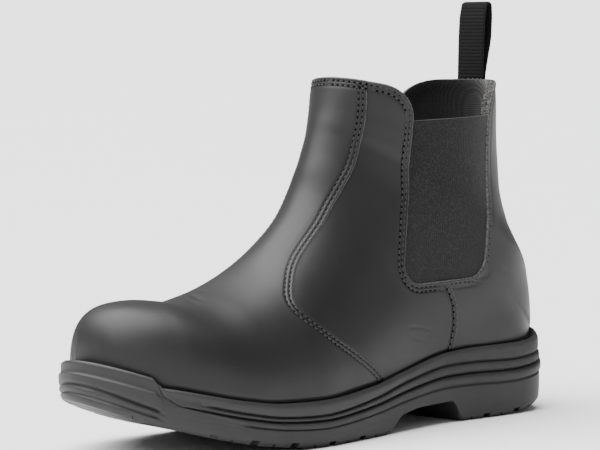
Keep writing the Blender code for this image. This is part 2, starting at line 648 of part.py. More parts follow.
# Pull loop: one folded strip of webbing behind the collar
fold = np.array(LOOP)
height = np.linspace(fold[0, 0], fold[-1, 0], 14)
middle, depth = monotone(fold[:, 0], fold[:, 1:], height).T
turn = np.linspace(0, np.pi, 9)[1:-1]
crest = np.stack([middle[-1] + depth[-1] * np.cos(turn), height[-1] + depth[-1] * np.sin(turn)], -1)
outside = [*np.stack([middle + depth, height], -1), *crest, *np.stack([middle - depth, height], -1)[::-1]]
loop_sides = LOOP_ACROSS - LOOP_WIDTH / 2, LOOP_ACROSS + LOOP_WIDTH / 2
loop = prism("pull_loop", [outside], *loop_sides, lean=LOOP_LEAN)
eye_height = np.linspace(LOOP_EYE, fold[-1, 0], 9)
middle, depth = monotone(fold[:, 0], fold[:, 1:], eye_height).T
depth = np.maximum(depth - LOOP_WEB, 0.15)
crest = np.stack([middle[-1] + depth[-1] * np.cos(turn), eye_height[-1] + depth[-1] * np.sin(turn)], -1)
eye = [*np.stack([middle + depth, eye_height], -1), *crest, *np.stack([middle - depth, eye_height], -1)[::-1]]
combine(loop, "DIFFERENCE", prism("loop_eye", [eye], -WIDE, WIDE))
coloured(loop, "loop_webbing", (0.016, 0.016, 0.016), 0.95)
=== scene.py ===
"""Looks of a slip-on work boot for the left foot: a leather upper with a protective toe, elastic gores, a
webbing pull loop and a moulded two-layer sole.

Shapes are worked out in millimetres as (station, across, height). Station runs from the back of the heel to
the tip of the toe, across is positive on the outer side of the foot, and height is above the floor.
"""

from collections import namedtuple

import bmesh
import bpy
import numpy as np
from mathutils import Matrix, Vector


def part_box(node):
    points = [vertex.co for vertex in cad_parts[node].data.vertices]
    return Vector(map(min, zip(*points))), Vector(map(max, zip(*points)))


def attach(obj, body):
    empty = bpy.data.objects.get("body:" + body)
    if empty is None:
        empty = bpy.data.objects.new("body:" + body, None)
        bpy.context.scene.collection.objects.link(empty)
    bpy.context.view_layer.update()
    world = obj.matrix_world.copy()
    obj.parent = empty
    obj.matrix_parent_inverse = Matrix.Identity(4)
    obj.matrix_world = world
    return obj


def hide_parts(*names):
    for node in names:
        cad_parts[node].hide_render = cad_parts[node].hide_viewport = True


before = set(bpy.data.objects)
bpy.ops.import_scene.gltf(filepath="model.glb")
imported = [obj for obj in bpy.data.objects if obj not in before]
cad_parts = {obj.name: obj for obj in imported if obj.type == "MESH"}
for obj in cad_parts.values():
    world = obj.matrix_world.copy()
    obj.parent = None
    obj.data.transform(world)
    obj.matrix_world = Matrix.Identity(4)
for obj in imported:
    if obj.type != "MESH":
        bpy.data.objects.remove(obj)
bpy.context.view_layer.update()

# Outsole: one moulding of hard black rubber with the tread, the heel, a bumper over the toe and a wall up
# the back of the heel. The lasted upper is stuck into it, with the softer midsole between them.
MM = 0.001
OUTSOLE_LOW, OUTSOLE_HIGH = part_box("outsole")
SOLE_LENGTH = (OUTSOLE_HIGH.y - OUTSOLE_LOW.y) / MM
HALF_BALL = 56.0
Plan = namedtuple("Plan", "share centre half_width")
PLAN = (
    Plan(0.00, 0.040, 0.755),
    Plan(0.13, 0.050, 0.757),
    Plan(0.29, 0.050, 0.710),
    Plan(0.42, 0.065, 0.770),
    Plan(0.55, 0.050, 0.910),
    Plan(0.67, 0.010, 1.000),
    Plan(0.77, -0.045, 0.985),
    Plan(0.88, -0.105, 0.908),
    Plan(1.00, -0.180, 0.810),
)
HEEL_ROUND, HEEL_POWER = 35.0, 2.45
TOE_ROUND, TOE_POWER = 64.0, 2.3
SPRING, SPRING_START, SPRING_POWER = 27.0, 190.0, 1.55
TOE_TILT, TILT_START = 0.1, 200.0
HEEL_LIFT, HEEL_LIFT_LENGTH, HEEL_LIFT_POWER = 6.5, 52.0, 1.5
Lip = namedtuple("Lip", "share height")
LIP = (
    Lip(0.00, 45.0),
    Lip(0.06, 41.0),
    Lip(0.14, 39.3),
    Lip(0.21, 39.3),
    Lip(0.29, 38.2),
    Lip(0.39, 33.2),
    Lip(0.50, 27.2),
    Lip(0.64, 24.2),
    Lip(0.72, 24.8),
    Lip(0.80, 28.3),
    Lip(0.92, 36.8),
    Lip(1.00, 41.5),
)
BUMPER_START, BUMPER_STEP, BUMPER_FULL, BUMPER_RISE, BUMPER_TIP = 277.0, 282.5, 286.0, 4.5, 5.0
SIDE_GROOVE_FADE, TOE_GROOVES_START = 7.0, (283.5, 286.0)
SCORE_DEPTH, SCORE_WIDTH = 0.9, 0.8
BACK_BLEND = (-14.0, -6.0)
HEEL_WALL, HEEL_WALL_RUN = 9.0, 7.0
Ring = namedtuple("Ring", "heel arch ball toe tip side front back plain end stipple", defaults=(300, 0))
RINGS = (
    Ring(0.00, 0.00, 0.00, 0.00, 0.00, 3.2, 3.5, 3.0, 3.2),
    Ring(0.07, 0.07, 0.10, 0.08, 0.09, 1.2, 1.2, 1.2, 1.2),
    Ring(0.14, 0.14, 0.15, 0.15, 0.20, 0.9, 0.6, 0.9, 0.8),
    Ring(0.20, 0.20, 0.19, 0.19, 0.25, 0.8, 1.6, 0.8, 0.7),
    Ring(0.25, 0.25, 0.23, 0.24, 0.31, 0.7, 0.3, 0.7, 0.6),
    Ring(0.30, 0.32, 0.27, 0.29, 0.39, 0.7, 0.2, 0.6, 0.5),
    Ring(0.36, 0.40, 0.31, 0.34, 0.45, 0.6, 1.7, 0.6, 0.5),
    Ring(0.41, 0.45, 0.35, 0.38, 0.51, 0.6, 0.2, 0.6, 0.5),
    Ring(0.45, 0.50, 0.38, 0.46, 0.55, 0.6, 0.1, 0.6, 0.5, 250),
    Ring(0.47, 0.52, 0.40, 0.49, 0.57, 1.2, 0.1, 1.2, 0.5, 250),
    Ring(0.50, 0.55, 0.43, 0.52, 0.59, 0.0, 0.1, 0.0, 0.5, 250),
    Ring(0.60, 0.64, 0.53, 0.59, 0.62, 0.0, 0.1, 0.0, 0.5, 268),
    Ring(0.63, 0.67, 0.57, 0.63, 0.65, 2.5, 0.1, 0.2, 0.6, 280),
    Ring(0.66, 0.70, 0.60, 0.66, 0.67, 0.4, 0.1, 0.5, 0.6, 268, 1),
    Ring(0.74, 0.79, 0.64, 0.71, 0.72, 0.4, 0.9, 0.8, 0.7, 268, 1),
    Ring(0.77, 0.82, 0.67, 0.75, 0.76, 2.6, 1.1, 0.9, 0.8, 268),
    Ring(0.80, 0.85, 0.70, 0.80, 0.82, 0.9, 1.2, 1.0, 0.9, 268, 1),
    Ring(0.95, 0.95, 0.93, 0.95, 0.95, 0.7, 1.2, 1.2, 1.0, 300, 1),
    Ring(1.00, 1.00, 1.00, 1.00, 1.00, 1.9, 2.2, 1.6, 1.9),
)
RING_PLACES = np.array([40.0, 112.0, 205.0, 284.0, 304.0])
PARTING_RING = 12
Corner = namedtuple("Corner", "station height radius")
ARCH = (
    Corner(80.0, -5.0, 0),
    Corner(80.0, 0.0, 0),
    Corner(87.0, 12.0, 4),
    Corner(118.0, 11.5, 20),
    Corner(132.0, 9.0, 8),
    Corner(142.0, 0.0, 0),
    Corner(142.0, -5.0, 0),
)
SIPES, LUG_GAPS = (18, 28, 51, 73, 154, 178, 203, 228.5, 252.5), (39.5, 62, 166, 190.5, 216, 240)
SIPE, LUG_GAP = (1.3, 1.2), (4.5, 2.6)
TOE_GAPS = [(262.0, 4.0, 2.2), (279.0, 3.5, 1.6), (293.0, 3.5, 2.0)]
# Station, width and depth of each groove across the tread.
TREAD_GROOVES = np.array([(at, *SIPE) for at in SIPES] + [(at, *LUG_GAP) for at in LUG_GAPS] + TOE_GAPS)
GROOVE_WALL = 0.15
MIDDLE_GROOVE, MIDDLE_DEPTH = 6.0, 2.2
HEEL_SLOTS, HEEL_SLOT_START, HEEL_SLOT_DEPTH = (-31.0, -24.0, -17.0, -10.0, 3.5, 10.0, 16.5), 66.0, 3.2
HEEL_SLOT, FLAT_WITHIN = 3.2, 0.05
RUBBER_BLACK = (0.0130, 0.0126, 0.0130)


def monotone(at, values, where):
    """Cubic curve through (at, values) that rises or falls only where the values do."""
    gap = np.diff(at)
    slope = np.diff(values, axis=0) / gap.reshape(-1, *[1] * (values.ndim - 1))
    same = slope[:-1] * slope[1:] > 0
    tangent = np.zeros_like(values)
    tangent[1:-1] = np.where(same, 2 * slope[:-1] * slope[1:] / np.where(same, slope[:-1] + slope[1:], 1), 0)
    tangent[0], tangent[-1] = slope[0], slope[-1]
    where = np.clip(np.asarray(where, float), at[0], at[-1])
    k = np.clip(np.searchsorted(at, where, side="right") - 1, 0, len(gap) - 1)
    shape = where.shape + (1,) * (values.ndim - 1)
    h = gap[k].reshape(shape)
    t = ((where - at[k]) / gap[k]).reshape(shape)
    return (
        values[k] * (1 + 2 * t) * (1 - t) ** 2
        + tangent[k] * h * t * (1 - t) ** 2
        + values[k + 1] * t**2 * (3 - 2 * t)
        + tangent[k + 1] * h * t**2 * (t - 1)
    )


def along(rows, column, station):
    """One column of a table of shares of the sole's length, as a smooth curve along the foot."""
    at = np.array([row.share for row in rows])
    return monotone(at, np.array([getattr(row, column) for row in rows]), np.asarray(station) / SOLE_LENGTH)


def ramp(value, start, end):
    """0 before start, 1 after end and a straight line between them."""
    return np.clip((value - start) / (end - start), 0, 1)


def plan(station, side_inset=0.0, toe_inset=0.0, back_inset=0.0):
    """Centre and half width of the sole's outline, taken in at the sides, the toe and the back. The ends are
    rounded by a power curve."""
    half = along(PLAN, "half_width", station) * HALF_BALL - side_inset
    to_back = np.clip((HEEL_ROUND + back_inset - station) / HEEL_ROUND, 0, 1)
    to_toe = np.clip((station - (SOLE_LENGTH - toe_inset - TOE_ROUND)) / TOE_ROUND, 0, 1)
    ends = np.sqrt((1 - to_back**HEEL_POWER) * (1 - to_toe**TOE_POWER))
    return along(PLAN, "centre", station) * HALF_BALL, half * ends


def ground(station, across=0.0):
    """Height of the tread: flat under the foot, with toe spring in front and a small lift at the back. Along
    the toe it tilts more and more down towards the outer side."""
    spring = SPRING * ramp(station, SPRING_START, SOLE_LENGTH) ** SPRING_POWER
    spring = spring - TOE_TILT * ramp(station, TILT_START, SOLE_LENGTH) * across
    return spring + HEEL_LIFT * ramp(-station, -HEEL_LIFT_LENGTH, 0) ** HEEL_LIFT_POWER


def sole_top(station):
    """Height of the sole's top edge, with the toe bumper."""
    rise = BUMPER_RISE * ramp(station, BUMPER_STEP, BUMPER_FULL)
    return along(LIP, "height", station) + rise + BUMPER_TIP * ramp(station, BUMPER_FULL, SOLE_LENGTH)


def unit(vectors):
    """Vectors made one unit long."""
    return vectors / np.linalg.norm(vectors, axis=-1, keepdims=True)


def hump(distance, width):
    """Smooth bump: 1 at no distance and nearly 0 past twice a width."""
    return np.exp(-((distance / width) ** 2))


def rounded(corners, steps=9):
    """Closed outline through corners, each one turned into an arc of its radius."""
    points = np.array([corner[:2] for corner in corners], float)
    before, after = (unit(np.roll(points, step, axis=0) - points) for step in (1, -1))
    outline = []
    for corner, back, ahead, row in zip(points, before, after, corners):
        if row.radius == 0:
            outline.append(corner)
            continue
        half_turn = np.arccos(np.clip(back @ ahead, -1, 1)) / 2
        reach = row.radius / np.tan(half_turn)
        middle = corner + unit(back + ahead) * row.radius / np.sin(half_turn)
        share = np.linspace(0, 1, steps)[:, None]
        chord = corner + reach * (back * (1 - share) + ahead * share) - middle
        outline.extend(middle + row.radius * unit(chord))
    return np.array(outline)


def softened(rows, share=0.32):
    """A profile with each corner turned into three rows: before it, on the rounding and after it."""
    rows = np.array(rows, float)
    before = rows[1:-1] + (rows[:-2] - rows[1:-1]) * share
    after = rows[1:-1] + (rows[2:] - rows[1:-1]) * share
    turn = rows[1:-1] * 0.6 + (before + after) * 0.2
    corners = np.stack([before, turn, after], 1).reshape(-1, rows.shape[1])
    return np.concatenate([rows[:1], corners, rows[-1:]])


def underside(station, across):
    """Lowest height of the rubber at a place: the ground line, the arch over it, and the tread's grooves."""
    arch = rounded(ARCH)[1:-1]
    level = np.maximum(ground(station, across), np.interp(station, arch[:, 0], arch[:, 1]))
    inside = np.abs(station[..., None] - TREAD_GROOVES[:, 0]) < TREAD_GROOVES[:, 1] / 2
    return level + np.max(inside * TREAD_GROOVES[:, 2], axis=-1)


def wall(rows, stations, side, scores=()):
    """Side of the sole. Each row of the profile is a line along the foot, at a share of the sole's height
    and set in from its outline. Stations are the same for all rows, apart from the ends, which are drawn in.
    The grooves of the sides and of the toe run out before they meet. Scores are slanted grooves across the
    rows."""
    rows = rows[:, :, None]
    flank, front, back, plain, end = np.moveaxis(rows[:, 5:10], 1, 0)
    toe = plain + (front - plain) * ramp(stations, *TOE_GROOVES_START)
    station = stations + back * ramp(-stations, -HEEL_ROUND, 0)
    station = station - toe * ramp(stations, SOLE_LENGTH - TOE_ROUND, SOLE_LENGTH)
    inset = plain + (flank - plain) * ramp((end - station) / SIDE_GROOVE_FADE, 0, 1)
    inset = inset + toe - plain
    inset = inset + (back - flank) * ramp(-station, *BACK_BLEND)
    for score in scores:
        inset = inset + SCORE_DEPTH * hump(stations - score[:, None], SCORE_WIDTH)
    centre, half = plan(station, inset, toe, back)
    across = centre + side * half
    share = np.stack([monotone(RING_PLACES, row[:5, 0], line) for row, line in zip(rows, station)])
    bottom = ground(station, across)
    height = bottom + share * (sole_top(station) - bottom)
    return np.stack([station, across, np.maximum(height, underside(stations, across))], -1)


def quads(index):
    """Faces of a grid of point numbers."""
    return np.stack([index[:-1, :-1], index[:-1, 1:], index[1:, 1:], index[1:, :-1]], -1).reshape(-1, 4)


outline_centres, outline_halves = plan(np.linspace(0, SOLE_LENGTH, 200))
ACROSS_MIDDLE = ((outline_centres + outline_halves).max() + (outline_centres - outline_halves).min()) / 2
JOIN_WITHIN, TINY_EDGE, SHARP_EDGE = 2e-6, 1e-7, np.radians(42)


def in_scene(name, data):
    """Object that holds a mesh, a light or a camera, put in the scene."""
    made = bpy.data.objects.new(name, data)
    bpy.context.scene.collection.objects.link(made)
    return made


def piece(name, points, faces, slot, nodes, materials, marks=None, groups=None):
    """Piece of the boot from points in millimetres and faces, with points that share a place joined. It
    rides on the boot and stands for solids; its slot is not used. Marks are values at each point for its
    materials, and groups say which material each face has."""
    station, across, height = np.reshape(points, (-1, 3)).T
    placed = np.stack([across - ACROSS_MIDDLE, SOLE_LENGTH / 2 - station, height], -1) * MM
    mesh = bpy.data.meshes.new(name)
    mesh.from_pydata(placed.tolist(), [], np.asarray(faces).tolist())
    for mark, values in (marks or {}).items():
        held = mesh.attributes.new(mark, "FLOAT", "POINT")
        held.data.foreach_set("value", np.ravel(values).astype(np.float32))
    if groups is not None:
        mesh.polygons.foreach_set("material_index", np.asarray(groups, np.int32))
    work = bmesh.new()
    work.from_mesh(mesh)
    bmesh.ops.remove_doubles(work, verts=work.verts, dist=JOIN_WITHIN)
    bmesh.ops.dissolve_degenerate(work, edges=work.edges, dist=TINY_EDGE)
    work.to_mesh(mesh)
    work.free()
    mesh.shade_smooth()
    mesh.set_sharp_from_angle(angle=SHARP_EDGE)
    made = in_scene(name, mesh)
    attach(made, "root")
    if nodes:
        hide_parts(*nodes)
    for material in materials:
        mesh.materials.append(material)


def joined(grids):
    """Points and faces of several grids as one list."""
    starts = np.cumsum([0] + [grid.shape[0] * grid.shape[1] for grid in grids])
    faces = [quads(np.arange(a, b).reshape(grid.shape[:2])) for a, b, grid in zip(starts, starts[1:], grids)]
    return np.concatenate([grid.reshape(-1, 3) for grid in grids]), np.concatenate(faces)


class Shade:
    """One socket of a material's nodes. Sums and products add Math nodes, and node() adds any other kind."""

    def __init__(self, tree, socket=None):
        self.tree = tree
        self.socket = socket

    def node(self, kind, settings=None, sockets=None, output=0):
        """Add a node, with its settings set first and then the values or links of its sockets."""
        made = self.tree.nodes.new("ShaderNode" + kind)
        for key, value in (settings or {}).items():
            setattr(made, key, value)
        for key, value in (sockets or {}).items():
            if isinstance(value, Shade):
                self.tree.links.new(value.socket, made.inputs[key])
            else:
                made.inputs[key].default_value = value
        return Shade(self.tree, made.outputs[output])

    def __add__(self, other):
        """Sum with a number or another socket."""
        return self.node("Math", {"operation": "ADD"}, {0: self, 1: other})

    def __mul__(self, other):
        """Product with a number or another socket."""
        return self.node("Math", {"operation": "MULTIPLY"}, {0: self, 1: other})

    def mark(self, name):
        """A value that the piece holds at each of its points."""
        return self.node("Attribute", {"attribute_name": name}, output="Fac")

    def noise(self, size, detail=2.0):
        """Cloudy noise with lumps of a size in millimetres, from 0 to 1."""
        where = self.node("TexCoord", output="Object")
        sockets = {"Vector": where, "Scale": 1 / (size * MM), "Detail": detail}
        return self.node("TexNoise", None, sockets, "Fac")

    def cells(self, size):
        """Distance from the middles of cells of a size in millimetres."""
        where = self.node("TexCoord", output="Object")
        return self.node("TexVoronoi", None, {"Vector": where, "Scale": 1 / (size * MM)}, "Distance")

    def band(self, start, end):
        """0 where this value is below start, 1 above end, smooth between them."""
        sockets = {"Value": self, "From Min": start, "From Max": end}
        return self.node("MapRange", {"interpolation_type": "SMOOTHSTEP"}, sockets)

    def tint(self, dark, light):
        """Colour between two, by this value. Each is red, green and blue or the colour of a socket."""
        ends = [end if isinstance(end, Shade) else (*end, 1) for end in (dark, light)]
        return self.node("Mix", {"data_type": "RGBA"}, {"Factor": self, 6: ends[0], 7: ends[1]}, 2)


def finish(name, colour, roughness, relief, depth, constants=None):
    """Material with a colour, roughness and relief that are functions of a Shade. Relief is in shares of a
    depth in millimetres, and constants are values of its other sockets."""
    material = bpy.data.materials.new(name)
    material.use_nodes = True
    tree = material.node_tree
    surface = tree.nodes["Principled BSDF"]
    start = Shade(tree)
    for key, value in (constants or {}).items():
        surface.inputs[key].default_value = value
    tree.links.new(colour(start).socket, surface.inputs["Base Color"])
    tree.links.new(roughness(start).socket, surface.inputs["Roughness"])
    bump = start.node("Bump", None, {"Height": relief(start), "Strength": 1.0, "Distance": depth * MM})
    tree.links.new(bump.socket, surface.inputs["Normal"])
    return material


def rubber(name, black):
    """Moulded rubber: satin black with cloudy dust and a fine texture, stippled where it is marked."""
    pale = tuple(2.0 * channel for channel in black)
    return finish(
        name,
        lambda s: (s.noise(9, 4) * 0.6 + s.noise(0.7) * s.mark("stipple") * 0.5).tint(black, pale),
        lambda s: s.noise(14, 3) * 0.16 + 0.44 + s.mark("stipple") * 0.14,
        lambda s: s.noise(0.45, 2) * 0.10 + s.cells(0.9) * s.mark("stipple"),
        0.22,
        {"Specular IOR Level": 0.36},
    )


PROFILE = softened(RINGS)
PARTING_ROW = 3 * PARTING_RING - 1
even_stations = SOLE_LENGTH * (1 - np.cos(np.linspace(0, np.pi, 210))) / 2
groove_middles, groove_widths = TREAD_GROOVES.T[:2]
groove_walls = groove_middles[:, None] + groove_widths[:, None] / 2 * np.array([-1, 1])
groove_walls = np.add.outer(groove_walls, GROOVE_WALL * np.array([-1, 1])).ravel()
stations = np.unique(np.concatenate([even_stations, groove_walls]))


def slanted(start, end, count):
    """Stations for each row between two slanted ends, start and end, closer together near both of them."""
    share = np.linspace(0, 1, count)
    share = share - np.sin(2 * np.pi * share) / (2.4 * np.pi)
    return start[:, None] * (1 - share) + end[:, None] * share


climb = np.linspace(0, 1, len(PROFILE) - PARTING_ROW)
toe_parting = BUMPER_START + (BUMPER_FULL - BUMPER_START) * climb
heel_parting = HEEL_WALL + HEEL_WALL_RUN * (1 - climb ** (1 / 3))
LIP_INSIDE = np.array([
    Ring(1.00, 1.00, 1.00, 1.00, 1.00, 3.1, 4.9, 2.0, 3.1),
    Ring(0.98, 0.98, 0.98, 0.98, 0.98, 4.5, 6.4, 2.7, 4.5),
    Ring(0.92, 0.92, 0.90, 0.92, 0.92, 6.2, 8.2, 4.6, 6.2),
])
CUP_ROWS = np.concatenate([PROFILE[PARTING_ROW:], LIP_INSIDE])


def over_lip(ends):
    """The slant of an end carried on over the lip, where it stays at the last row's station."""
    return np.concatenate([ends, np.repeat(ends[-1:], len(LIP_INSIDE))])


lower_rows = PROFILE[: PARTING_ROW + 1]
outer_wall = wall(lower_rows, stations[None], 1)
inner_wall = wall(lower_rows, stations[None], -1)
tip = np.full(len(CUP_ROWS), SOLE_LENGTH)
toe_end, heel_end = over_lip(toe_parting), over_lip(heel_parting)
toe_stations = slanted(toe_end, tip, 80)
heel_stations = slanted(0 * tip, heel_end, 40)
tread_share = np.linspace(-1, 1, 100)
tread_edges = np.stack([inner_wall[0], outer_wall[0]])
tread = tread_edges[0][:, None] + (tread_edges[1] - tread_edges[0])[:, None] * (tread_share[:, None] + 1) / 2
flat = np.abs(tread[..., 2] - ground(tread[..., 0], tread[..., 1])) < FLAT_WITHIN
tread[..., 2] += MIDDLE_DEPTH * (flat & (np.abs(tread[..., 1]) < MIDDLE_GROOVE / 2))
in_slot = np.any(np.abs(tread[..., 1, None] - HEEL_SLOTS) < HEEL_SLOT / 2, axis=-1)
in_slot &= (tread[..., 0] > HEEL_SLOT_START) & (tread[..., 0] < ARCH[2].station)
tread[..., 2] = np.where(in_slot, np.maximum(tread[..., 2], HEEL_SLOT_DEPTH), tread[..., 2])
outsole_grids = [outer_wall[::-1], inner_wall, tread, np.stack([inner_wall[-1], outer_wall[-1]])]
outsole_grids += [wall(CUP_ROWS, toe_stations, side, [toe_end])[::-side] for side in (1, -1)]
outsole_grids += [wall(CUP_ROWS, heel_stations, side, [heel_end])[::-side] for side in (1, -1)]
points, faces = joined(outsole_grids)
piece("outsole_rubber", points, faces, "outsole", ["outsole"], [rubber("outsole_rubber", RUBBER_BLACK)],
      {"stipple": np.zeros(len(points))})

# Midsole: the softer rubber side panels between the outsole and the upper, moulded with two stippled bands
# and a groove between them, and bonded to the outsole along the lower groove.
STIPPLE_END, MIDSOLE_BLACK = (96.0, 128.0), (0.0160, 0.0155, 0.0160)
midsole_stations = slanted(heel_end, toe_end, 240)
midsole_grids = [
    wall(CUP_ROWS, midsole_stations, side, [heel_end, toe_end])[::-side] for side in (1, -1)
]
stipple = CUP_ROWS[:, 10:] * (1 - ramp(midsole_stations, *STIPPLE_END))
piece("midsole_rubber", *joined(midsole_grids), "midsole", ["midsole"],
      [rubber("midsole_rubber", MIDSOLE_BLACK)], {"stipple": np.concatenate([stipple[::-1], stipple])})

# Insole: a board of pressed fibre with a black textile cover, cut a little smaller than the inside of the
# upper. It lies loose on the bed of the sole.
FIT_GAP, CUP_DEPTH = 0.3, 6.0
INSOLE_SIDE, INSOLE_TOE, INSOLE_BACK = 8.7, 11.8, 8.0
INSOLE_THICKNESS, INSOLE_DISH = 4.0, 0.8
INSOLE_BLACK, INSOLE_GREY = (0.006, 0.006, 0.006), (0.018, 0.018, 0.019)


def floor(station):
    """Height of the bed of the cup that the upper stands in."""
    return along(LIP, "height", station) - CUP_DEPTH


def textile(name, thread, dark, light):
    """Woven cloth: two crossing sets of threads of a size in millimetres, with loose fibre over them."""
    def weave(s):
        where = s.node("TexCoord", output="Object")
        wave = {"Scale": 0.16 / (thread * MM), "Vector": where, "Distortion": 0.6, "Detail": 1.0}
        bars = s.node("TexWave", {"bands_direction": "Y"}, wave, "Fac")
        rows = s.node("TexWave", {"bands_direction": "Z"}, wave, "Fac")
        return bars * rows
    return finish(
        name,
        lambda s: (weave(s) * 0.7 + s.noise(2.5, 3) * 0.4).tint(dark, light),
        lambda s: s.noise(4) * 0.1 + 0.85,
        lambda s: weave(s) + s.noise(0.5) * 0.4,
        0.25,
        {"Sheen Weight": 0.3, "Specular IOR Level": 0.25},
    )


around = np.array([(-1, 0), (-1, 0.75), (-0.985, 0.94), (-0.95, 1)])
over_top = [(c, 1) for c in np.linspace(-0.9, 0.9, 25)]
around = np.concatenate([around, over_top, around[::-1] * (-1, 1), around[:1]])
run = (1 - np.cos(np.linspace(0, np.pi, 90))) / 2
station = (INSOLE_BACK + (SOLE_LENGTH - INSOLE_TOE - INSOLE_BACK) * run)[:, None]
centre, half = plan(station, INSOLE_SIDE, INSOLE_TOE, INSOLE_BACK)
level = around[:, 1] * (INSOLE_THICKNESS - INSOLE_DISH * (1 - around[:, 0] ** 2))
height = floor(station) + FIT_GAP + level
cover = np.stack([station + 0 * level, centre + half * around[:, 0], height], -1)[::-1]
piece("insole_cover", *joined([cover]), "insole", ["insole"],
      [textile("insole_textile", 1.2, INSOLE_BLACK, INSOLE_GREY)])

# Vamp: one piece of black full-grain leather over the protective toe and up the shin to the collar. Its cut
# edge laps over the quarters, held by two rows of stitching. Its lower edge is pulled under into the sole.
TOE_BOX_HEIGHT, TOE_BOX_STATION, TOE_BOX_POWER, TOE_ROWS = 76.6, 267.0, 3.2, 8
BEND_HEIGHT = 73.7
TOE_INSET, BACK_INSET, SIDE_INSET, BULGE = 6.8, 3.0, 5.0, 1.2
TOE_SPREAD, TOE_TIP_HALF = 1.02, 0.1
HEEL_FULLNESS, FULL_HEEL, FULL_HEEL_END = 0.8, 42.0, 82.0
HEEL_FRONT, HEEL_BACK, LIP_LEAN = 60.0, 10.0, 0.5
BACK_ROOM, BACK_FREE, BACK_FREE_END = 7.0, 7.0, 18.0
SOFT_LIP, SOFT_LIP_RUN = 2.4, (4.0, 20.0)
COLLAR_HEIGHT, SHAFT_TOP = 182.5, 188.0
Section = namedtuple("Section", "base base_height crown crown_height half_width widest roundness")
ON_SOLE = None
SECTIONS = (
    Section(TOE_BOX_STATION, ON_SOLE, TOE_BOX_STATION, TOE_BOX_HEIGHT, ON_SOLE, 0.25, 2.4),
    Section(244, ON_SOLE, 244, BEND_HEIGHT, ON_SOLE, 0.235, 2.3),
    Section(226, ON_SOLE, 226, BEND_HEIGHT + 3.5, ON_SOLE, 0.22, 2.2),
    Section(195, ON_SOLE, 202, BEND_HEIGHT + 13.9, ON_SOLE, 0.20, 2.0),
    Section(165, ON_SOLE, 183, BEND_HEIGHT + 28.2, 46.0, 0.20, 1.9),
    Section(130, ON_SOLE, 168.8, BEND_HEIGHT + 42.4, 41.0, 0.23, 1.95),
    Section(92, ON_SOLE, 161.0, BEND_HEIGHT + 54.2, 38.5, 0.280, 2.0),
    Section(50, ON_SOLE, 156.0, BEND_HEIGHT + 65.3, 38.9, 0.340, 2.0),
    Section(24, ON_SOLE, 153.0, BEND_HEIGHT + 71.3, 39.2, 0.395, 2.0),
    Section(8, ON_SOLE, 151.3, BEND_HEIGHT + 74.8, 39.4, 0.430, 2.0),
    Section(BACK_INSET, ON_SOLE, 150.7, BEND_HEIGHT + 76.1, 39.5, 0.440, 2.0),
    Section(1.8, 71, 147.4, BEND_HEIGHT + 83.3, 39.6, 0.420, 2.0),
    Section(15.4, 97, 145.0, BEND_HEIGHT + 89.3, 39.5, 0.425, 2.0),
    Section(22.8, 121, 142.6, BEND_HEIGHT + 95.3, 39.8, 0.450, 2.0),
    Section(24.5, 150, 139.8, BEND_HEIGHT + 103.8, 41.0, 0.480, 2.0),
    Section(26.0, SHAFT_TOP, 136.4, SHAFT_TOP, 42.5, 0.500, 2.0),
)
Seam = namedtuple("Seam", "station height")
VAMP_SEAM = (
    Seam(130.0, SHAFT_TOP + 2),
    Seam(132.0, 168.0),
    Seam(134.0, 156.5),
    Seam(138.5, 142.5),
    Seam(148.0, 128.5),
    Seam(162.0, 111.5),
    Seam(191.0, 84.0),
    Seam(198.4, 72.5),
    Seam(186.0, 59.0),
    Seam(165.0, 46.0),
    Seam(152.4, 37.8),
    Seam(142.5, 29.5),
    Seam(136.0, 22.5),
)
COLLAR_LINE = (
    Corner(-10.0, SHAFT_TOP + 8, 0),
    Corner(-10.0, COLLAR_HEIGHT - 1.5, 0),
    Corner(54.0, COLLAR_HEIGHT - 0.3, 24),
    Corner(58.5, 110.0, 60),
    Corner(62.0, 77.3, 13),
    Corner(122.5, 76.3, 10),
    Corner(112.0, 124.0, 50),
    Corner(109.4, COLLAR_HEIGHT - 4.5, 20),
    Corner(145.0, COLLAR_HEIGHT + 6.2, 0),
    Corner(145.0, SHAFT_TOP + 8, 0),
)
GORE_MIDDLE = 80.0
LAP_RISE, LEATHER_WALL, CUT_EDGE = 1.0, 2.2, 0.8
EDGE_STEPS, FIRST_STEP = (0, 0.2, 0.45, 0.8, 1.3, 2.0), 2.8
RAW_BAND, LAP_RAW_BAND, LAP_EDGE, WAVES_FROM = (0.3, 0.8), (0.2, 0.6), 0.1, 9.0
VAMP_TOP_RUN, TOP_RUN, TUCK_RUN = 45.0, 22.0, (-0.2, 3.0)
STEADY_COLUMN, TOE_FROM, FAR_IN = 0.93, 0.58, 99.0
STITCH_ROWS, STITCH_SINK, STITCH_DIP = (2.1, 4.4), 0.35, 0.55
Crease = namedtuple("Crease", "start end bow depth width")
CREASES = (
    Crease((214, -20, 79), (222, 6, 81), 1.5, 1.0, 1.9),
    Crease((220, -16, 78), (229, 9, 79), 1.0, 0.9, 1.7),
    Crease((227, -12, 77), (238, 12, 76), -1.0, 0.8, 1.6),
    Crease((234, -6, 76), (244, 14, 74), -1.0, 0.5, 1.5),
    Crease((123, 42, 54), (101, 41, 50), 1.5, 0.16, 1.2),
    Crease((120, 42, 50), (99, 41, 44), -1.0, 0.18, 1.1),
    Crease((116, 42, 55), (107, 41, 46), 0.8, 0.20, 1.0),
    Crease((112, 42, 56), (103, 41, 48), 0.5, 0.14, 0.9),
    Crease((110, 42, 49), (97, 41, 47), 0.8, 0.16, 1.0),
    Crease((51, 41, 75), (36, 38, 60), 1.5, 0.35, 1.8),
    Crease((46, 41, 80), (31, 36, 66), 1.5, 0.30, 1.8),
    Crease((120, -40, 57), (99, -39, 48), 2.0, 0.5, 2.2),
    Crease((50, -39, 74), (35, -36, 60), 1.0, 0.5, 2.6),
)
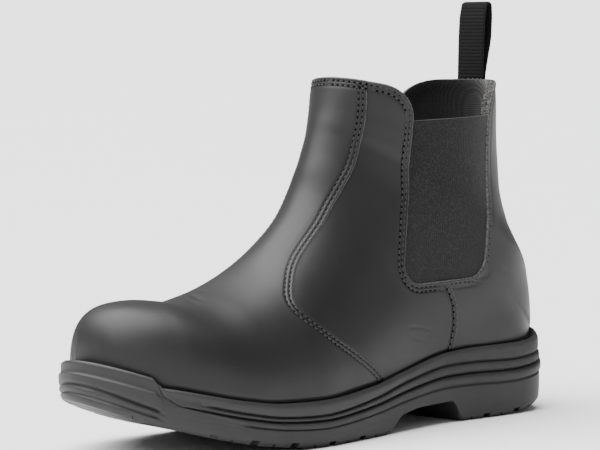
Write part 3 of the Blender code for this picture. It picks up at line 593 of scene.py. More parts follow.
LEATHER_BLACK, LEATHER_WORN = (0.0040, 0.0039, 0.0041), (0.0110, 0.0105, 0.0105)
CUT_GREY, CUT_DARK = (0.10, 0.097, 0.094), (0.012, 0.012, 0.012)
LINING_BLACK, LINING_GREY = (0.0025, 0.0025, 0.0025), (0.006, 0.006, 0.006)


def section_rows():
    """The toe's rows, worked out from its dome, and the table's, as one array with the columns of Section.
    The widest place is kept as a distance from the crown."""
    tip_station = SOLE_LENGTH - TOE_INSET
    turn = np.linspace(0, np.pi / 2, TOE_ROWS, endpoint=False)
    toe_station = tip_station - (tip_station - TOE_BOX_STATION) * (1 - np.cos(turn))
    reach = (toe_station - TOE_BOX_STATION) / (tip_station - TOE_BOX_STATION)
    rise = (1 - reach**TOE_BOX_POWER) ** (1 / TOE_BOX_POWER)
    base = floor(toe_station) + FIT_GAP
    half = plan(toe_station, SIDE_INSET, TOE_INSET, BACK_INSET)[1] * TOE_SPREAD + TOE_TIP_HALF
    crown = base + (TOE_BOX_HEIGHT - base) * rise
    shape = [0 * base + SECTIONS[0].widest, 0 * base + SECTIONS[0].roundness]
    toe = np.stack([toe_station, base, toe_station, crown, half, *shape], -1)
    rest = []
    for row in SECTIONS:
        height = floor(row.base) + FIT_GAP if row.base_height is ON_SOLE else row.base_height
        half = plan(row.base, SIDE_INSET, TOE_INSET, BACK_INSET)[1] + BULGE
        rest.append(row._replace(base_height=height, half_width=row.half_width or half))
    rows = np.concatenate([toe, np.array(rest, float)])
    rows[:, 5] = (1 - rows[:, 5]) * np.hypot(rows[:, 2] - rows[:, 0], rows[:, 3] - rows[:, 1])
    return rows


ROWS = section_rows()
LEAN = ROWS[:, 2:4] - ROWS[:, 0:2] + (0, 1e-6)
LEAN = unit(LEAN[1:] + LEAN[:-1])
MOVES = np.diff(ROWS[:, 0:4], axis=0)
SWEPT = np.abs(LEAN[:, :1] * MOVES[:, 1::2] - LEAN[:, 1:] * MOVES[:, 0::2]).sum(axis=1) + 0.5
ROW_PLACES = np.concatenate([[0], np.cumsum(SWEPT)]) / SWEPT.sum()
HEEL_ROW = TOE_ROWS + [row.base for row in SECTIONS].index(BACK_INSET)
HEEL_PLACE = ROW_PLACES[HEEL_ROW]


def section(v):
    """Section of the upper at each place v, from the toe's tip (0) to the top of the shaft (1). The base is
    read in two runs, along the sole and up the back, because it turns a corner between them."""
    values = monotone(ROW_PLACES, ROWS, v)
    on_sole = monotone(ROW_PLACES[:HEEL_ROW + 1], ROWS[:HEEL_ROW + 1, :2], v)
    on_sole[..., 1] = floor(on_sole[..., 0]) + FIT_GAP
    up_back = monotone(ROW_PLACES[HEEL_ROW:], ROWS[HEEL_ROW:, :2], v)
    values[..., :2] = np.where((v < HEEL_PLACE)[..., None], on_sole, up_back)
    return values


def skin(v, j):
    """Outer face of the upper. A row v is a leaning section from its base to its crown, and j runs round it
    from the inner edge (-1) over the crown (0) to the outer edge (1). Above the heel both edges meet at the
    back. Low at the heel the section is fuller. Near the sole's lip it keeps inside the lip, but for the
    very back."""
    base, base_height, crown, crown_height, half, reach, power = np.moveaxis(section(v), -1, 0)
    centre, base_half = plan(base, SIDE_INSET, TOE_INSET, BACK_INSET)
    base_half = np.where(v < HEEL_PLACE, base_half, 0)
    half = np.maximum(half, base_half)
    length = np.hypot(crown - base, crown_height - base_height)
    widest = np.clip(1 - reach / np.maximum(length, 1e-6), 0.1, 0.9)
    t = (1 + np.cos(np.pi * j)) / 2
    up = np.clip((t - widest) / (1 - widest), 0, 1)
    down = np.clip((widest - t) / widest, 0, 1)
    front = half * (1 - up**power) ** (1 / power)
    blunt = ramp(-base_height, -FULL_HEEL_END, -FULL_HEEL) * ramp(-base, -HEEL_FRONT, -HEEL_BACK)
    blunt = 2 + HEEL_FULLNESS * blunt
    share = base_half / np.maximum(half, 1e-6)
    back = base_half + (half - base_half) * (1 - down**blunt) ** (1 / blunt + (1 - 1 / blunt) * share)
    station, height = base + (crown - base) * t, base_height + (crown_height - base_height) * t
    room = plan(station, SIDE_INSET, TOE_INSET, BACK_INSET)[1] * TOE_SPREAD + TOE_TIP_HALF
    room = room + LIP_LEAN * np.maximum(height - floor(station) - CUP_DEPTH, 0)
    room = room + BACK_ROOM * ramp(-station, -BACK_FREE_END, -BACK_FREE)
    wide = np.where(t > widest, front, back)
    soft = SOFT_LIP * ramp(-base, -HEEL_FRONT, -HEEL_BACK) * ramp(np.minimum(wide, room), *SOFT_LIP_RUN)
    across = centre + np.sign(j) * (wide + room - np.hypot(wide - room, soft)) / 2
    return np.stack([station, across, height], -1)


NEAR_EDGE, ROW_STEP, COLUMN_STEP = 0.025, 0.003, 0.01


def normals(v, j):
    """Outward direction of the upper's face, from small steps along it and around it. Down the middle of the
    back, where both halves meet, it has no part across the boot."""
    to_back = np.where(v < HEEL_PLACE, 1, np.clip((1 - np.abs(j)) / NEAR_EDGE, 0, 1))
    v = np.clip(v, 0.004, 0.996)
    j = np.clip(j, NEAR_EDGE - 1, 1 - NEAR_EDGE)
    forward = skin(v + ROW_STEP, j) - skin(v - ROW_STEP, j)
    around_it = skin(v, j + COLUMN_STEP) - skin(v, j - COLUMN_STEP)
    outward = np.cross(around_it, forward)
    outward[..., 1] = outward[..., 1] * to_back
    return unit(outward)


def face(v, j, lift):
    """Face at a distance outside the upper's own, kept above the bed of the cup."""
    points = skin(v, j) + np.asarray(lift)[..., None] * normals(v, j)
    points[..., 2] = np.maximum(points[..., 2], floor(points[..., 0]) + FIT_GAP)
    return points


def locate(places):
    """Row and column of places seen from the side, (station, height), on the outer half: the row whose line
    from base to crown passes through the place, and how far up that line it is."""
    v = np.linspace(0, 1, 900)
    rows = section(v)[:, :4]
    base, lean = rows[:, :2], rows[:, 2:] - rows[:, :2]
    away = np.reshape(places, (-1, 1, 2)) - base
    behind = lean[:, 0] * away[..., 1] - lean[:, 1] * away[..., 0]
    k = np.clip(np.argmax(behind < 0, axis=1), 1, len(v) - 1)
    each = np.arange(len(k))
    share = np.clip(behind[each, k - 1] / (behind[each, k - 1] - behind[each, k]), 0, 1)
    found = (v[k - 1] + share * (v[k] - v[k - 1])).reshape(np.shape(places)[:-1])
    rows = section(found)
    lean = rows[..., 2:4] - rows[..., :2]
    t = np.sum((places - rows[..., :2]) * lean, -1) / np.sum(lean**2, -1)
    return np.stack([found, np.arccos(np.clip(2 * t - 1, -1, 1)) / np.pi], -1)


def travelled(points):
    """Distance of each point along a run of points."""
    return np.concatenate([[0], np.cumsum(np.linalg.norm(np.diff(points, axis=0), axis=1))])


def evenly(points, where):
    """Points at shares from 0 to 1 along a run of points."""
    at = travelled(points)
    return np.stack([np.interp(np.asarray(where) * at[-1], at, column) for column in points.T], -1)


def length_of(points):
    """Length of a run of points."""
    return travelled(points)[-1]


def through(rows, count=900):
    """Smooth curve through the rows of a table, at even steps."""
    points = np.array(rows, float)
    places = travelled(points)
    return evenly(monotone(places, points, np.linspace(0, places[-1], count)), np.linspace(0, 1, count))


def collar(station):
    """Height of the collar's edge: nearly level over the heel, and a straight rise over the shin."""
    rear, lobe, notch, shin = (COLLAR_LINE[k] for k in (1, 2, 7, 8))
    level = np.interp(station, (rear.station, lobe.station), (rear.height, lobe.height))
    rise = (shin.height - notch.height) / (shin.station - notch.station)
    return np.where(station < GORE_MIDDLE, level, notch.height + (station - notch.station) * rise)


def collar_row(j):
    """Row of the collar's edge at each column."""
    v = np.linspace(0.85, 1, 300)[:, None]
    points = skin(v + 0 * j, 0 * v + j)
    above = points[..., 2] - collar(points[..., 0])
    k = np.clip(np.argmax(above > 0, axis=0), 1, len(v) - 1)
    each = np.arange(len(j))
    share = above[k - 1, each] / (above[k - 1, each] - above[k, each])
    return v[k - 1, 0] + share * (v[k, 0] - v[k - 1, 0])


def beside(places, distances):
    """Places on the upper at growing distances to one side of a line of (row, column) places. Each short
    step is square to the line and within the surface, and is solved for its change of row and of column.
    Inside the sole, where columns crowd together, the change is taken from a column a little higher up."""
    found, at, gone = [], np.array(places, float), 0.0
    for distance in distances:
        v, j = at[:, 0], np.minimum(at[:, 1], STEADY_COLUMN)
        way = np.gradient(skin(v, j), axis=0)
        square = unit(np.cross(way, normals(v, j)))
        by_row = (skin(v + 0.002, j) - skin(v - 0.002, j)) / 0.004
        by_column = (skin(v, j + 0.004) - skin(v, j - 0.004)) / 0.008
        a, b, c = (np.sum(one * two, -1) for one, two in
                   ((by_row, by_row), (by_row, by_column), (by_column, by_column)))
        p, q = np.sum(square * by_row, -1), np.sum(square * by_column, -1)
        move = np.stack([c * p - b * q, a * q - b * p], -1) / (a * c - b * b)[:, None]
        at = np.clip(at + move * (distance - gone), 0, 1)
        gone = distance
        found.append(at)
    return np.stack(found, axis=1)


def down_from(length, count):
    """Distances down a panel from its top edge: close steps at the edge, then even ones."""
    return np.concatenate([EDGE_STEPS, np.linspace(FIRST_STEP, length, count)])


def cut(distance):
    """Share of the full height at a distance from a cut edge: a quarter circle."""
    return np.sqrt(1 - (1 - np.clip(distance / CUT_EDGE, 0, 1)) ** 2)


def lap(distance):
    """Share of the full height at a distance from the edge of a lap, which starts a little proud."""
    return LAP_EDGE + (1 - LAP_EDGE) * cut(distance)


def creases(points):
    """Lift of the leather by its main creases: a soft trough along each line, with a low ridge beside it."""
    lift = np.zeros(points.shape[:-1])
    for crease in CREASES:
        start, end = np.array(crease.start, float), np.array(crease.end, float)
        line = end - start
        share = np.clip(np.sum((points - start) * line, -1) / (line @ line), 0, 1)
        bend = np.array([0, 0, crease.bow])
        nearest = start + share[..., None] * line + np.sin(np.pi * share)[..., None] * bend
        away = np.linalg.norm(points - nearest, axis=-1) / crease.width
        fade = np.sin(np.pi * np.clip(share, 0.04, 0.96)) ** 0.7
        lift -= crease.depth * fade * (1 - 0.9 * away**2) * np.exp(-(away**2))
    return lift


def unevenness(points, gap):
    """Slow waves of the leather over the last, a fraction of a millimetre high and lower near an edge."""
    s, x, z = np.moveaxis(points, -1, 0)
    waves = 0.16 * np.sin(s / 9 + z / 14) * np.sin(x / 11 - z / 17) + 0.10 * np.sin(z / 6 + x / 8 + s / 23)
    return waves * np.clip(gap / WAVES_FROM, 0, 1)


def tucked(points):
    """0 where the leather goes into the sole and 1 a few millimetres above the sole's edge."""
    share = ramp(points[..., 2] - sole_top(points[..., 0]), *TUCK_RUN)
    return share**2 * (3 - 2 * share)


def stitch_dips(gap):
    """Depth of the leather at a distance from a sewn edge: a dip along each row of stitches."""
    return STITCH_SINK * sum(hump(gap - row, STITCH_DIP) for row in STITCH_ROWS)


# Full-grain leather: satin black with fine pores, slow changes of gloss, and paler wear.
LEATHER = finish(
    "upper_leather",
    lambda s: (s.mark("raw") * s.noise(0.9, 3).band(0.3, 0.6)).tint(
        (s.noise(30, 4) * 0.5 + s.noise(1.2) * 0.3).tint(LEATHER_BLACK, LEATHER_WORN), CUT_GREY),
    lambda s: s.noise(45, 3) * 0.16 + s.noise(1.5) * 0.08 + s.mark("raw") * 0.35 + 0.36,
    lambda s: s.cells(0.75) * 0.5 + s.noise(0.5, 3) * 0.5 + s.noise(6, 2) * 0.6,
    0.05,
    {"Specular IOR Level": 0.38},
)
# Raw edge of the leather: grey fibre with dark dye rubbed over it.
RAW_EDGE = finish(
    "leather_edge",
    lambda s: s.noise(1.1, 3).band(0.35, 0.7).tint(CUT_DARK, CUT_GREY),
    lambda s: s.noise(2) * 0.1 + 0.85,
    lambda s: s.noise(0.6, 3),
    0.3,
    {"Specular IOR Level": 0.2},
)
LINING = textile("lining_textile", 0.6, LINING_BLACK, LINING_GREY)


def closed(outer, inner, outward):
    """Points, faces and groups of a closed panel between two grids: the outer face, the inner face and the
    rim, turned so that the outer face looks outwards."""
    over = np.arange(outer[..., 0].size).reshape(outer.shape[:2])
    edge = np.concatenate([over[0, :-1], over[:-1, -1], over[-1, :0:-1], over[:0:-1, 0], over[0, :1]])
    rim = quads(np.stack([edge, edge + over.size]))
    sides = [quads(over), quads(over + over.size)[:, ::-1], rim[:, ::-1]]
    turn = np.cross(outer[:-1, 1:] - outer[:-1, :-1], outer[1:, :-1] - outer[:-1, :-1])
    if np.sum(turn * outward[:-1, :-1]) < 0:
        sides = [side[:, ::-1] for side in sides]
    points = np.concatenate([outer.reshape(-1, 3), inner.reshape(-1, 3)])
    return points, np.concatenate(sides), np.repeat([0, 1, 2], [len(side) for side in sides])


def leather_panel(name, outer, inner, outward, raw):
    """Closed panel of leather outside, lining inside and a raw edge round it. The leather shows its grey
    fibre where it is marked raw."""
    points, faces, groups = closed(outer, inner, outward)
    piece(name, points, faces, "upper", ["upper"], [LEATHER, LINING, RAW_EDGE],
          {"raw": np.concatenate([raw, 0 * raw])}, groups)


seam_line = through(VAMP_SEAM)
seam_line = seam_line[seam_line[:, 1] <= collar(seam_line[:, 0])]
seam_length = length_of(seam_line)
seam_places = down_from(seam_length, 225)
seam = locate(evenly(seam_line, seam_places / seam_length))
band = np.array([0, 0.1, 0.25, 0.5, 0.8, 1.15, 1.5, 1.8, 2.1, 2.4, 2.8, 3.3, 3.8, 4.1, 4.4, 4.7, 5.2, 6.2,
                 7.5])
in_band = beside(seam, band)
in_band[-1, :, 1] = 1
v_in, j_in = in_band[:, -1].T
up_in, side_in = v_in * np.cos(j_in * np.pi / 2), v_in * np.sin(j_in * np.pi / 2)
bow = ramp(-seam_places, -TOE_FROM * seam_length, 0) ** 0.8
toe_row = int(np.argmax(seam_places > TOE_FROM * seam_length))
even_in = up_in[toe_row] * (1 - ramp(seam_places, seam_places[toe_row], seam_length))
even_in = np.where(np.arange(len(seam)) < toe_row, up_in, even_in)
share_across = np.linspace(1, -1, 120)[1:-1]
across_it = side_in[:, None] * share_across
straight = even_in[:, None] + (up_in - even_in)[:, None] * share_across**2
bowed = np.sqrt(np.maximum(v_in[:, None] ** 2 - across_it**2, 0))
up_it = straight * (1 - bow[:, None]) + bow[:, None] * bowed
middle_v, middle_j = np.hypot(up_it, across_it), np.arctan2(across_it, up_it) / (np.pi / 2)
vamp_v = np.concatenate([in_band[..., 0], middle_v, in_band[:, ::-1, 0]], axis=1)
vamp_j = np.concatenate([in_band[..., 1], middle_j, -in_band[:, ::-1, 1]], axis=1)
to_collar = ramp(-seam_places, -VAMP_TOP_RUN, 0)[:, None] ** 2
vamp_v = np.clip(vamp_v + (collar_row(vamp_j[0]) - vamp_v[0]) * to_collar, 0, 1)
from_edge = np.concatenate([band, np.full(middle_v.shape[1], FAR_IN), band[::-1]])
bare = skin(vamp_v, vamp_j)
lift = LAP_RISE * lap(from_edge) - stitch_dips(from_edge)
lift = lift * tucked(bare) + creases(bare) + unevenness(bare, from_edge) * tucked(bare)
from_top = seam_places[:, None]
lift = lift - CUT_EDGE * (1 - cut(from_top)) - stitch_dips(from_top)
raw = np.maximum(1 - ramp(from_edge, *LAP_RAW_BAND), 1 - ramp(from_top, *RAW_BAND))
leather_panel("vamp", face(vamp_v, vamp_j, lift), face(vamp_v, vamp_j, 0 * lift - LEATHER_WALL),
              normals(vamp_v, vamp_j), raw)

# Front quarters: the leather on each side between the vamp and the elastic. Each goes under the vamp's edge,
# has a raw edge at the collar and along the elastic, and laps a little over the rear quarter below it.
FRONT_LOBE, REAR_LOBE, GORE_FOOT = (114.5, 176.4), (50.6, 178.6), (90.8, 76.8)
UNDER_SEAM = (
    Seam(*GORE_FOOT),
    Seam(86.5, 70.4),
    Seam(83.6, 62.5),
    Seam(83.0, 53.5),
    Seam(83.8, 46.0),
    Seam(85.2, 38.0),
    Seam(86.2, 32.4),
)
UNDER_LAP, QUARTER_LAP, QUARTER_LAP_RUN, EDGE_BAND = 1.2, 0.5, 14.0, 4.6
HEM_RISE, HEM = 0.35, 1.1
# Shares of the way down the far edge, and of the way down the hidden one.
FRONT_PACE = ((0, 0.52, 0.74, 1), (0, 0.66, 0.88, 1))
collar_line = rounded(COLLAR_LINE, 25)
collar_line = evenly(collar_line, np.linspace(0, 1, 1600))
under_seam = through(UNDER_SEAM, 120)


def stretch(line, start, end):
    """The part of a run of points between the points nearest to two places."""
    first, last = (int(np.argmin(np.hypot(*(line - place).T))) for place in (start, end))
    step = 1 if last >= first else -1
    return line[np.arange(first, last + step, step)]


def gap_to(points, line):
    """Distance, seen from the side, from points to the nearest stretch of a line."""
    line = evenly(line, np.linspace(0, 1, 240))
    begin, run_on = line[:-1], np.diff(line, axis=0)
    away = points[..., None, [0, 2]] - begin
    share = np.clip(np.sum(away * run_on, -1) / np.sum(run_on**2, -1), 0, 1)
    return np.linalg.norm(away - share[..., None] * run_on, axis=-1).min(axis=-1)


def patch(near, far, top, share, to_top):
    """Rows and columns between two edges, near and far, given as (row, column) at each step down the boot.
    The first step is drawn towards the top edge."""
    grid = near[:, None] * (1 - share[..., None]) + far[:, None] * share[..., None]
    return grid + (top - grid[0]) * to_top[:, None, None]


def hem(gap):
    """Lift of the leather along its sewn edges: a low fold at the edge and a dip at each row of stitches."""
    return HEM_RISE * hump(gap - HEM, HEM) - stitch_dips(gap)


front_edge = stretch(collar_line, FRONT_LOBE, GORE_FOOT)
front_far = np.concatenate([front_edge, under_seam[1:]])
front_length = length_of(front_far)
front_places = down_from(front_length, 200) / front_length
far = evenly(front_far, front_places)
near_share = np.interp(front_places, *FRONT_PACE)
hidden_edge = evenly(seam_line, near_share)
across_row = np.linalg.norm(far - hidden_edge, axis=1)[:, None]
near_far = np.broadcast_to(EDGE_STEPS + (3.2,), (len(far), len(EDGE_STEPS) + 1))
from_far = np.concatenate([near_far, EDGE_BAND + (across_row - EDGE_BAND) * np.linspace(0, 1, 90)], axis=1)
share = 1 - (from_far / across_row)[:, ::-1]
top_edge = stretch(collar_line, seam_line[0], FRONT_LOBE)
top_edge = evenly(top_edge, share[0])
to_top = ramp(-front_places * front_length, -TOP_RUN, 0) ** 2
under_vamp = beside(locate(hidden_edge), (UNDER_LAP / 2, UNDER_LAP))[:, -1]
quarter_vj = patch(under_vamp, locate(far), locate(top_edge), share, to_top)
quarter_v, quarter_j = np.clip(quarter_vj[..., 0], 0, 1), quarter_vj[..., 1]
for side, name in ((1, "quarter_front_lateral"), (-1, "quarter_front_medial")):
    bare = skin(quarter_v, side * quarter_j)
    edge_gap = gap_to(bare, np.concatenate([stretch(collar_line, seam_line[0], FRONT_LOBE), front_far]))
    over_rear = QUARTER_LAP * ramp(-gap_to(bare, under_seam), -QUARTER_LAP_RUN, 0) ** 2
    lift = creases(bare) + unevenness(bare, edge_gap) + over_rear + hem(edge_gap)
    lift = lift * tucked(bare) - CUT_EDGE * (1 - cut(edge_gap))
    leather_panel(name, face(quarter_v, side * quarter_j, lift),
                  face(quarter_v, side * quarter_j, 0 * lift - LEATHER_WALL),
                  normals(quarter_v, side * quarter_j), 1 - ramp(edge_gap, *RAW_BAND))

# Rear quarter: one piece of leather round the heel, from the elastic on one side to that on the other, with
# raw edges at the collar. It goes under the front quarters and under the stay down the back.
REAR_BEND, REAR_RUN, REAR_BAND, TO_MIDDLE = (30.0, 181.7), 60.0, 3.0, 1.5
REAR_EDGE_WALL, REAR_EDGE_RUN = 2.4, 6.0
REAR_PACE = ((0, 0.55, 0.74, 1), (0, 0.60, 0.80, 1))
rear_edge = stretch(collar_line, REAR_LOBE, GORE_FOOT)
rear_far = np.concatenate([rear_edge, under_seam[1:] + (UNDER_LAP, 0)])
rear_length = length_of(rear_far)
rear_places = down_from(rear_length, 180) / rear_length
far = evenly(rear_far, rear_places)
back_v = collar_row(np.array([0.999]))[0]
back_share = np.interp(rear_places, *REAR_PACE)
back_line = np.stack([back_v + (HEEL_PLACE - back_v) * back_share, 0 * back_share + 1], -1)
further = REAR_RUN - (REAR_RUN - REAR_BAND) * np.linspace(1, 0, 96) ** TO_MIDDLE
from_far = np.concatenate([EDGE_STEPS, further]) / REAR_RUN
share = np.broadcast_to(1 - from_far[::-1], (len(far), len(from_far)))
far_vj = locate(far)
column = 1 - share[0] * (1 - far_vj[0, 1])
bend_vj = locate(evenly(stretch(collar_line, REAR_BEND, REAR_LOBE), np.linspace(0, 1, 60)))[::-1]
on_bend = np.interp(column, bend_vj[:, 1], bend_vj[:, 0])
top_v = np.where(column < bend_vj[-1, 1], on_bend, collar_row(np.clip(column, 0, 0.999)))
top_vj = np.stack([top_v, column], -1)
to_top = ramp(-rear_places * rear_length, -TOP_RUN, 0) ** 2
rear_vj = patch(back_line, far_vj, top_vj, share, to_top)
rear_v, rear_j = np.clip(rear_vj[..., 0], 0, 1), rear_vj[..., 1]


def both_sides(v, j, lift):
    """Face over both halves of the heel, from the outer side round the back to the inner side. The lifts of
    the two halves are a pair, and the halves are drawn together at the back."""
    outer_half = face(v, j, lift[0])[:, ::-1]
    inner_half = face(v, -j, lift[1])
    middle = (outer_half[:, -1] + inner_half[:, 0]) / 2
    return np.concatenate([outer_half[:, :-1], middle[:, None], inner_half[:, 1:]], axis=1)


def both_halves(values):
    """Values of one half of the heel, for both halves."""
    return np.concatenate([values[:, ::-1], values[:, 1:]], axis=1)


rear_border = stretch(collar_line, REAR_BEND, GORE_FOOT)
rear_border = np.concatenate([[COLLAR_LINE[1][:2]], rear_border])
lifts, sinks = [], []
for side in (1, -1):
    bare = skin(rear_v, side * rear_j)
    edge_gap = gap_to(bare, rear_border)
    lift = creases(bare) + unevenness(bare, edge_gap) + hem(edge_gap)
    lifts.append(lift * tucked(bare) - CUT_EDGE * (1 - cut(edge_gap)))
    sinks.append(-LEATHER_WALL - REAR_EDGE_WALL * hump(edge_gap, REAR_EDGE_RUN))
outer, inner = both_sides(rear_v, rear_j, lifts), both_sides(rear_v, rear_j, sinks)
raw = 1 - ramp(edge_gap, *RAW_BAND)
leather_panel("quarter_rear", outer, inner, outer - inner, both_halves(raw))

# Back stay: a strip of black leather sewn over the middle of the rear quarter by a row of stitches along
# each edge. It goes from the sole up to the collar and is narrower at the top.
STAY_FOOT, STAY_TOP, STAY_RISE, STAY_SINK = 22.0, 13.0, 0.8, 0.4
STAY_LENGTH, STAY_HALF, STAY_LOW = 143.0, 16.0, 46.0
from_collar = down_from(STAY_LENGTH, 130)
stay_places = from_collar / STAY_LENGTH
stay_v = back_v + (HEEL_PLACE - back_v) * stay_places
columns = np.linspace(1, 0.55, 240)
stay_table = skin(stay_v[:, None] + 0 * columns, columns + 0 * stay_v[:, None])
stay_half = np.interp(stay_table[..., 2], (STAY_LOW, SHAFT_TOP), (STAY_FOOT, STAY_TOP))
beyond = stay_table[..., 1] - stay_table[:, :1, 1] - stay_half
stay_edge = columns[np.argmax(beyond > 0, axis=1)]
stay_edge = monotone(stay_places[::12], stay_edge[::12], stay_places)
edge_steps = 1 - np.array(EDGE_STEPS[::-1]) / STAY_HALF
from_middle = np.concatenate([0.86 * np.linspace(0, 1, 64) ** TO_MIDDLE, edge_steps])
stay_j = 1 - (1 - stay_edge[:, None]) * from_middle
stay_v = np.broadcast_to(stay_v[:, None], stay_j.shape)
edge_gap = (1 - from_middle) * STAY_HALF + 0 * stay_j
lift = STAY_RISE * lap(edge_gap) * tucked(skin(stay_v, stay_j))
lift = lift - CUT_EDGE * (1 - cut(from_collar))[:, None]
outer, inner = (both_sides(stay_v, stay_j, [one, one]) for one in (lift, 0 * lift - STAY_SINK))
raw = np.maximum(1 - ramp(edge_gap, *LAP_RAW_BAND), 1 - ramp(from_collar, *RAW_BAND)[:, None])
leather_panel("back_stay", outer, inner, outer - inner, both_halves(raw))

# Gores: a panel of black elastic cloth in each side, woven with upright cords of rubber. It is sewn behind
# the edges of the leather on three sides, and its top edge is folded over in a hem.
GORE_TOP_REAR, GORE_TOP_FRONT = (56.0, 163.5), (111.5, 162.0)
GORE_FOOT_REAR, GORE_FOOT_FRONT = (66.0, 80.0), (119.0, 79.0)
GORE_SINK, GORE_THICKNESS, GORE_TUCK = 0.9, 1.5, 0.4
CORDS, CORD_RISE, GORE_HEM, GORE_HEM_RUN = 44, 0.06, 0.25, (-0.07, -0.06)
ELASTIC_BLACK, ELASTIC_GRAIN_GLINT = (0.004, 0.004, 0.004), (0.020, 0.0195, 0.019)
# Elastic: matte black cloth with fine paler specks, its own grain together with painted glints of its
# sparkle, and a little paler along each cord.
ELASTIC = finish(
    "gore_elastic",
    lambda s: (s.noise(0.9, 3).band(0.42, 0.75) + s.mark("cords") * 0.15).tint(ELASTIC_BLACK, ELASTIC_GRAIN_GLINT),
    lambda s: s.noise(5) * 0.05 + 0.92,
    lambda s: s.noise(0.7, 2) + s.mark("cords") * 0.3,
    0.18,
    {"Specular IOR Level": 0.2, "Sheen Weight": 0.15},
)
down, over = np.linspace(0, 1, 110), np.linspace(0, 1, 90)
front_run = evenly(stretch(collar_line, GORE_TOP_FRONT, GORE_FOOT_FRONT), down)
rear_run = evenly(stretch(collar_line, GORE_TOP_REAR, GORE_FOOT_REAR), down)
foot_run = evenly(stretch(collar_line, GORE_FOOT_FRONT, GORE_FOOT_REAR), over)
flat_gore = front_run[:, None] * (1 - over[:, None]) + rear_run[:, None] * over[:, None]
flat_gore = flat_gore + (foot_run - flat_gore[-1]) * (down[:, None, None] ** 3)
outward = flat_gore - flat_gore.mean(axis=(0, 1))
flat_gore = flat_gore + GORE_TUCK * outward / np.maximum(np.linalg.norm(outward, axis=-1, keepdims=True), 1)
gore_vj = locate(flat_gore)
cords = 0.5 + 0.5 * np.sin(over * 2 * np.pi * CORDS) + 0 * down[:, None]
lift = GORE_HEM * ramp(-down, *GORE_HEM_RUN)[:, None] + CORD_RISE * cords - GORE_SINK
for side, name in ((1, "gore_lateral"), (-1, "gore_medial")):
    v, j = gore_vj[..., 0], side * gore_vj[..., 1]
    inner = face(v, j, 0 * v - GORE_SINK - GORE_THICKNESS)
    points, faces, _ = closed(face(v, j, lift), inner, normals(v, j))
    piece(name + "_elastic", points, faces, name, [name], [ELASTIC], {"cords": np.tile(cords.ravel(), 2)})

# Pull loop: a strip of ribbed black webbing of woven nylon, folded over into a loop. Both ends are sewn flat
# to the back of the collar, over the stay.
Fold = namedtuple("Fold", "height middle half_depth")
LOOP = (
    Fold(158.0, 21.3, 1.6),
    Fold(182.0, 22.5, 1.6),
    Fold(194.0, 21.9, 2.6),
    Fold(206.0, 21.2, 3.6),
    Fold(214.0, 21.2, 3.6),
    Fold(221.6, 21.0, 2.7),
)
LOOP_WIDTH, LOOP_WEB, LOOP_ACROSS, LOOP_LEAN = 19.0, 1.5, -3.2, 0.08
RIB_PITCH, RIB_RISE = 1.9, 0.16
WEBBING_BLACK, WEBBING_GREY = (0.0025, 0.0025, 0.0025), (0.008, 0.008, 0.008)
fold = np.array(LOOP)
height = np.linspace(fold[0, 0], fold[-1, 0], 200)
middle, depth = monotone(fold[:, 0], fold[:, 1:], height).T
depth = depth - LOOP_WEB / 2
turn = np.linspace(0, np.pi, 40)[1:-1]
crest = np.stack([middle[-1] + depth[-1] * np.cos(turn), height[-1] + depth[-1] * np.sin(turn)], -1)
front_strip, rear_strip = (np.stack([middle + way * depth, height], -1) for way in (1, -1))
strip = evenly(np.concatenate([front_strip, crest, rear_strip[::-1]]), np.linspace(0, 1, 420))
strip_place = np.linspace(0, length_of(strip), len(strip))
tangent = unit(np.gradient(strip, axis=0))
out_of_strip = np.stack([tangent[:, 1], -tangent[:, 0]], -1)
turn = np.linspace(0, 2 * np.pi, 41)
flat_share = np.sign(np.cos(turn)) * np.abs(np.cos(turn)) ** 0.25
thick_share = np.sign(np.sin(turn)) * np.abs(np.sin(turn)) ** 0.35
rib = 1 + RIB_RISE * np.sin(strip_place * 2 * np.pi / RIB_PITCH)[:, None]
thick = LOOP_WEB / 2 * thick_share * rib * 0.92
sheet = strip[:, None] + out_of_strip[:, None] * thick[..., None]
sideways = LOOP_ACROSS + LOOP_WIDTH / 2 * flat_share + LOOP_LEAN * (sheet[..., 1] - COLLAR_HEIGHT)
webbing = np.stack([sheet[..., 0], sideways, sheet[..., 1]], -1)
ends = [np.repeat(webbing[k].mean(axis=0)[None], webbing.shape[1], axis=0) for k in (0, -1)]
webbing = np.concatenate([ends[0][None], webbing, ends[1][None]])[::-1]
LOOP_WEBBING = finish(
    "loop_webbing",
    lambda s: s.noise(0.8, 3).tint(WEBBING_BLACK, WEBBING_GREY),
    lambda s: s.noise(3) * 0.1 + 0.8,
    lambda s: s.cells(0.6) + s.noise(0.4),
    0.12,
    {"Specular IOR Level": 0.15},
)
piece("pull_loop_webbing", *joined([webbing]), "pull_loop", ["pull_loop"], [LOOP_WEBBING])

# Stitching: rows of black nylon thread along the laps, the collar, the elastic and the stay. Each stitch is
# a short bar that goes down into a needle hole at both ends. Each needle hole holds a small near-black
# dish with no gloss: painted shade in the hole.
STITCH_PITCH, STITCH_LENGTH, THREAD, HOLE = 3.2, 2.1, 0.32, 0.58
BAR_RISE, BAR_DIP, CLEAR_OF_SOLE, TURN_STEP = 0.22, 0.5, 0.5, 0.002
THREAD_BLACK, THREAD_GREY = (0.012, 0.012, 0.012), (0.035, 0.035, 0.035)
# Colours of the painted shade in the needle holes.
HOLE_SHADE_BLACK, HOLE_SHADE_GREY = (0.001, 0.001, 0.001), (0.004, 0.004, 0.004)
UNDER_ROWS, STAY_ROW = (1.2, 3.2), 2.0
SHIN_COLUMNS, BACK_COLUMNS = np.linspace(0.001, 0.22, 40), np.linspace(0.86, 0.985, 40)
Row = namedtuple("Row", "places side lift")


def even_rows(places, count):
    """Line of (row, column) places with even steps on the upper's face."""
    at = travelled(skin(*places.T))
    where = np.linspace(0, at[-1], count)
    return np.stack([np.interp(where, at, column) for column in places.T], -1)


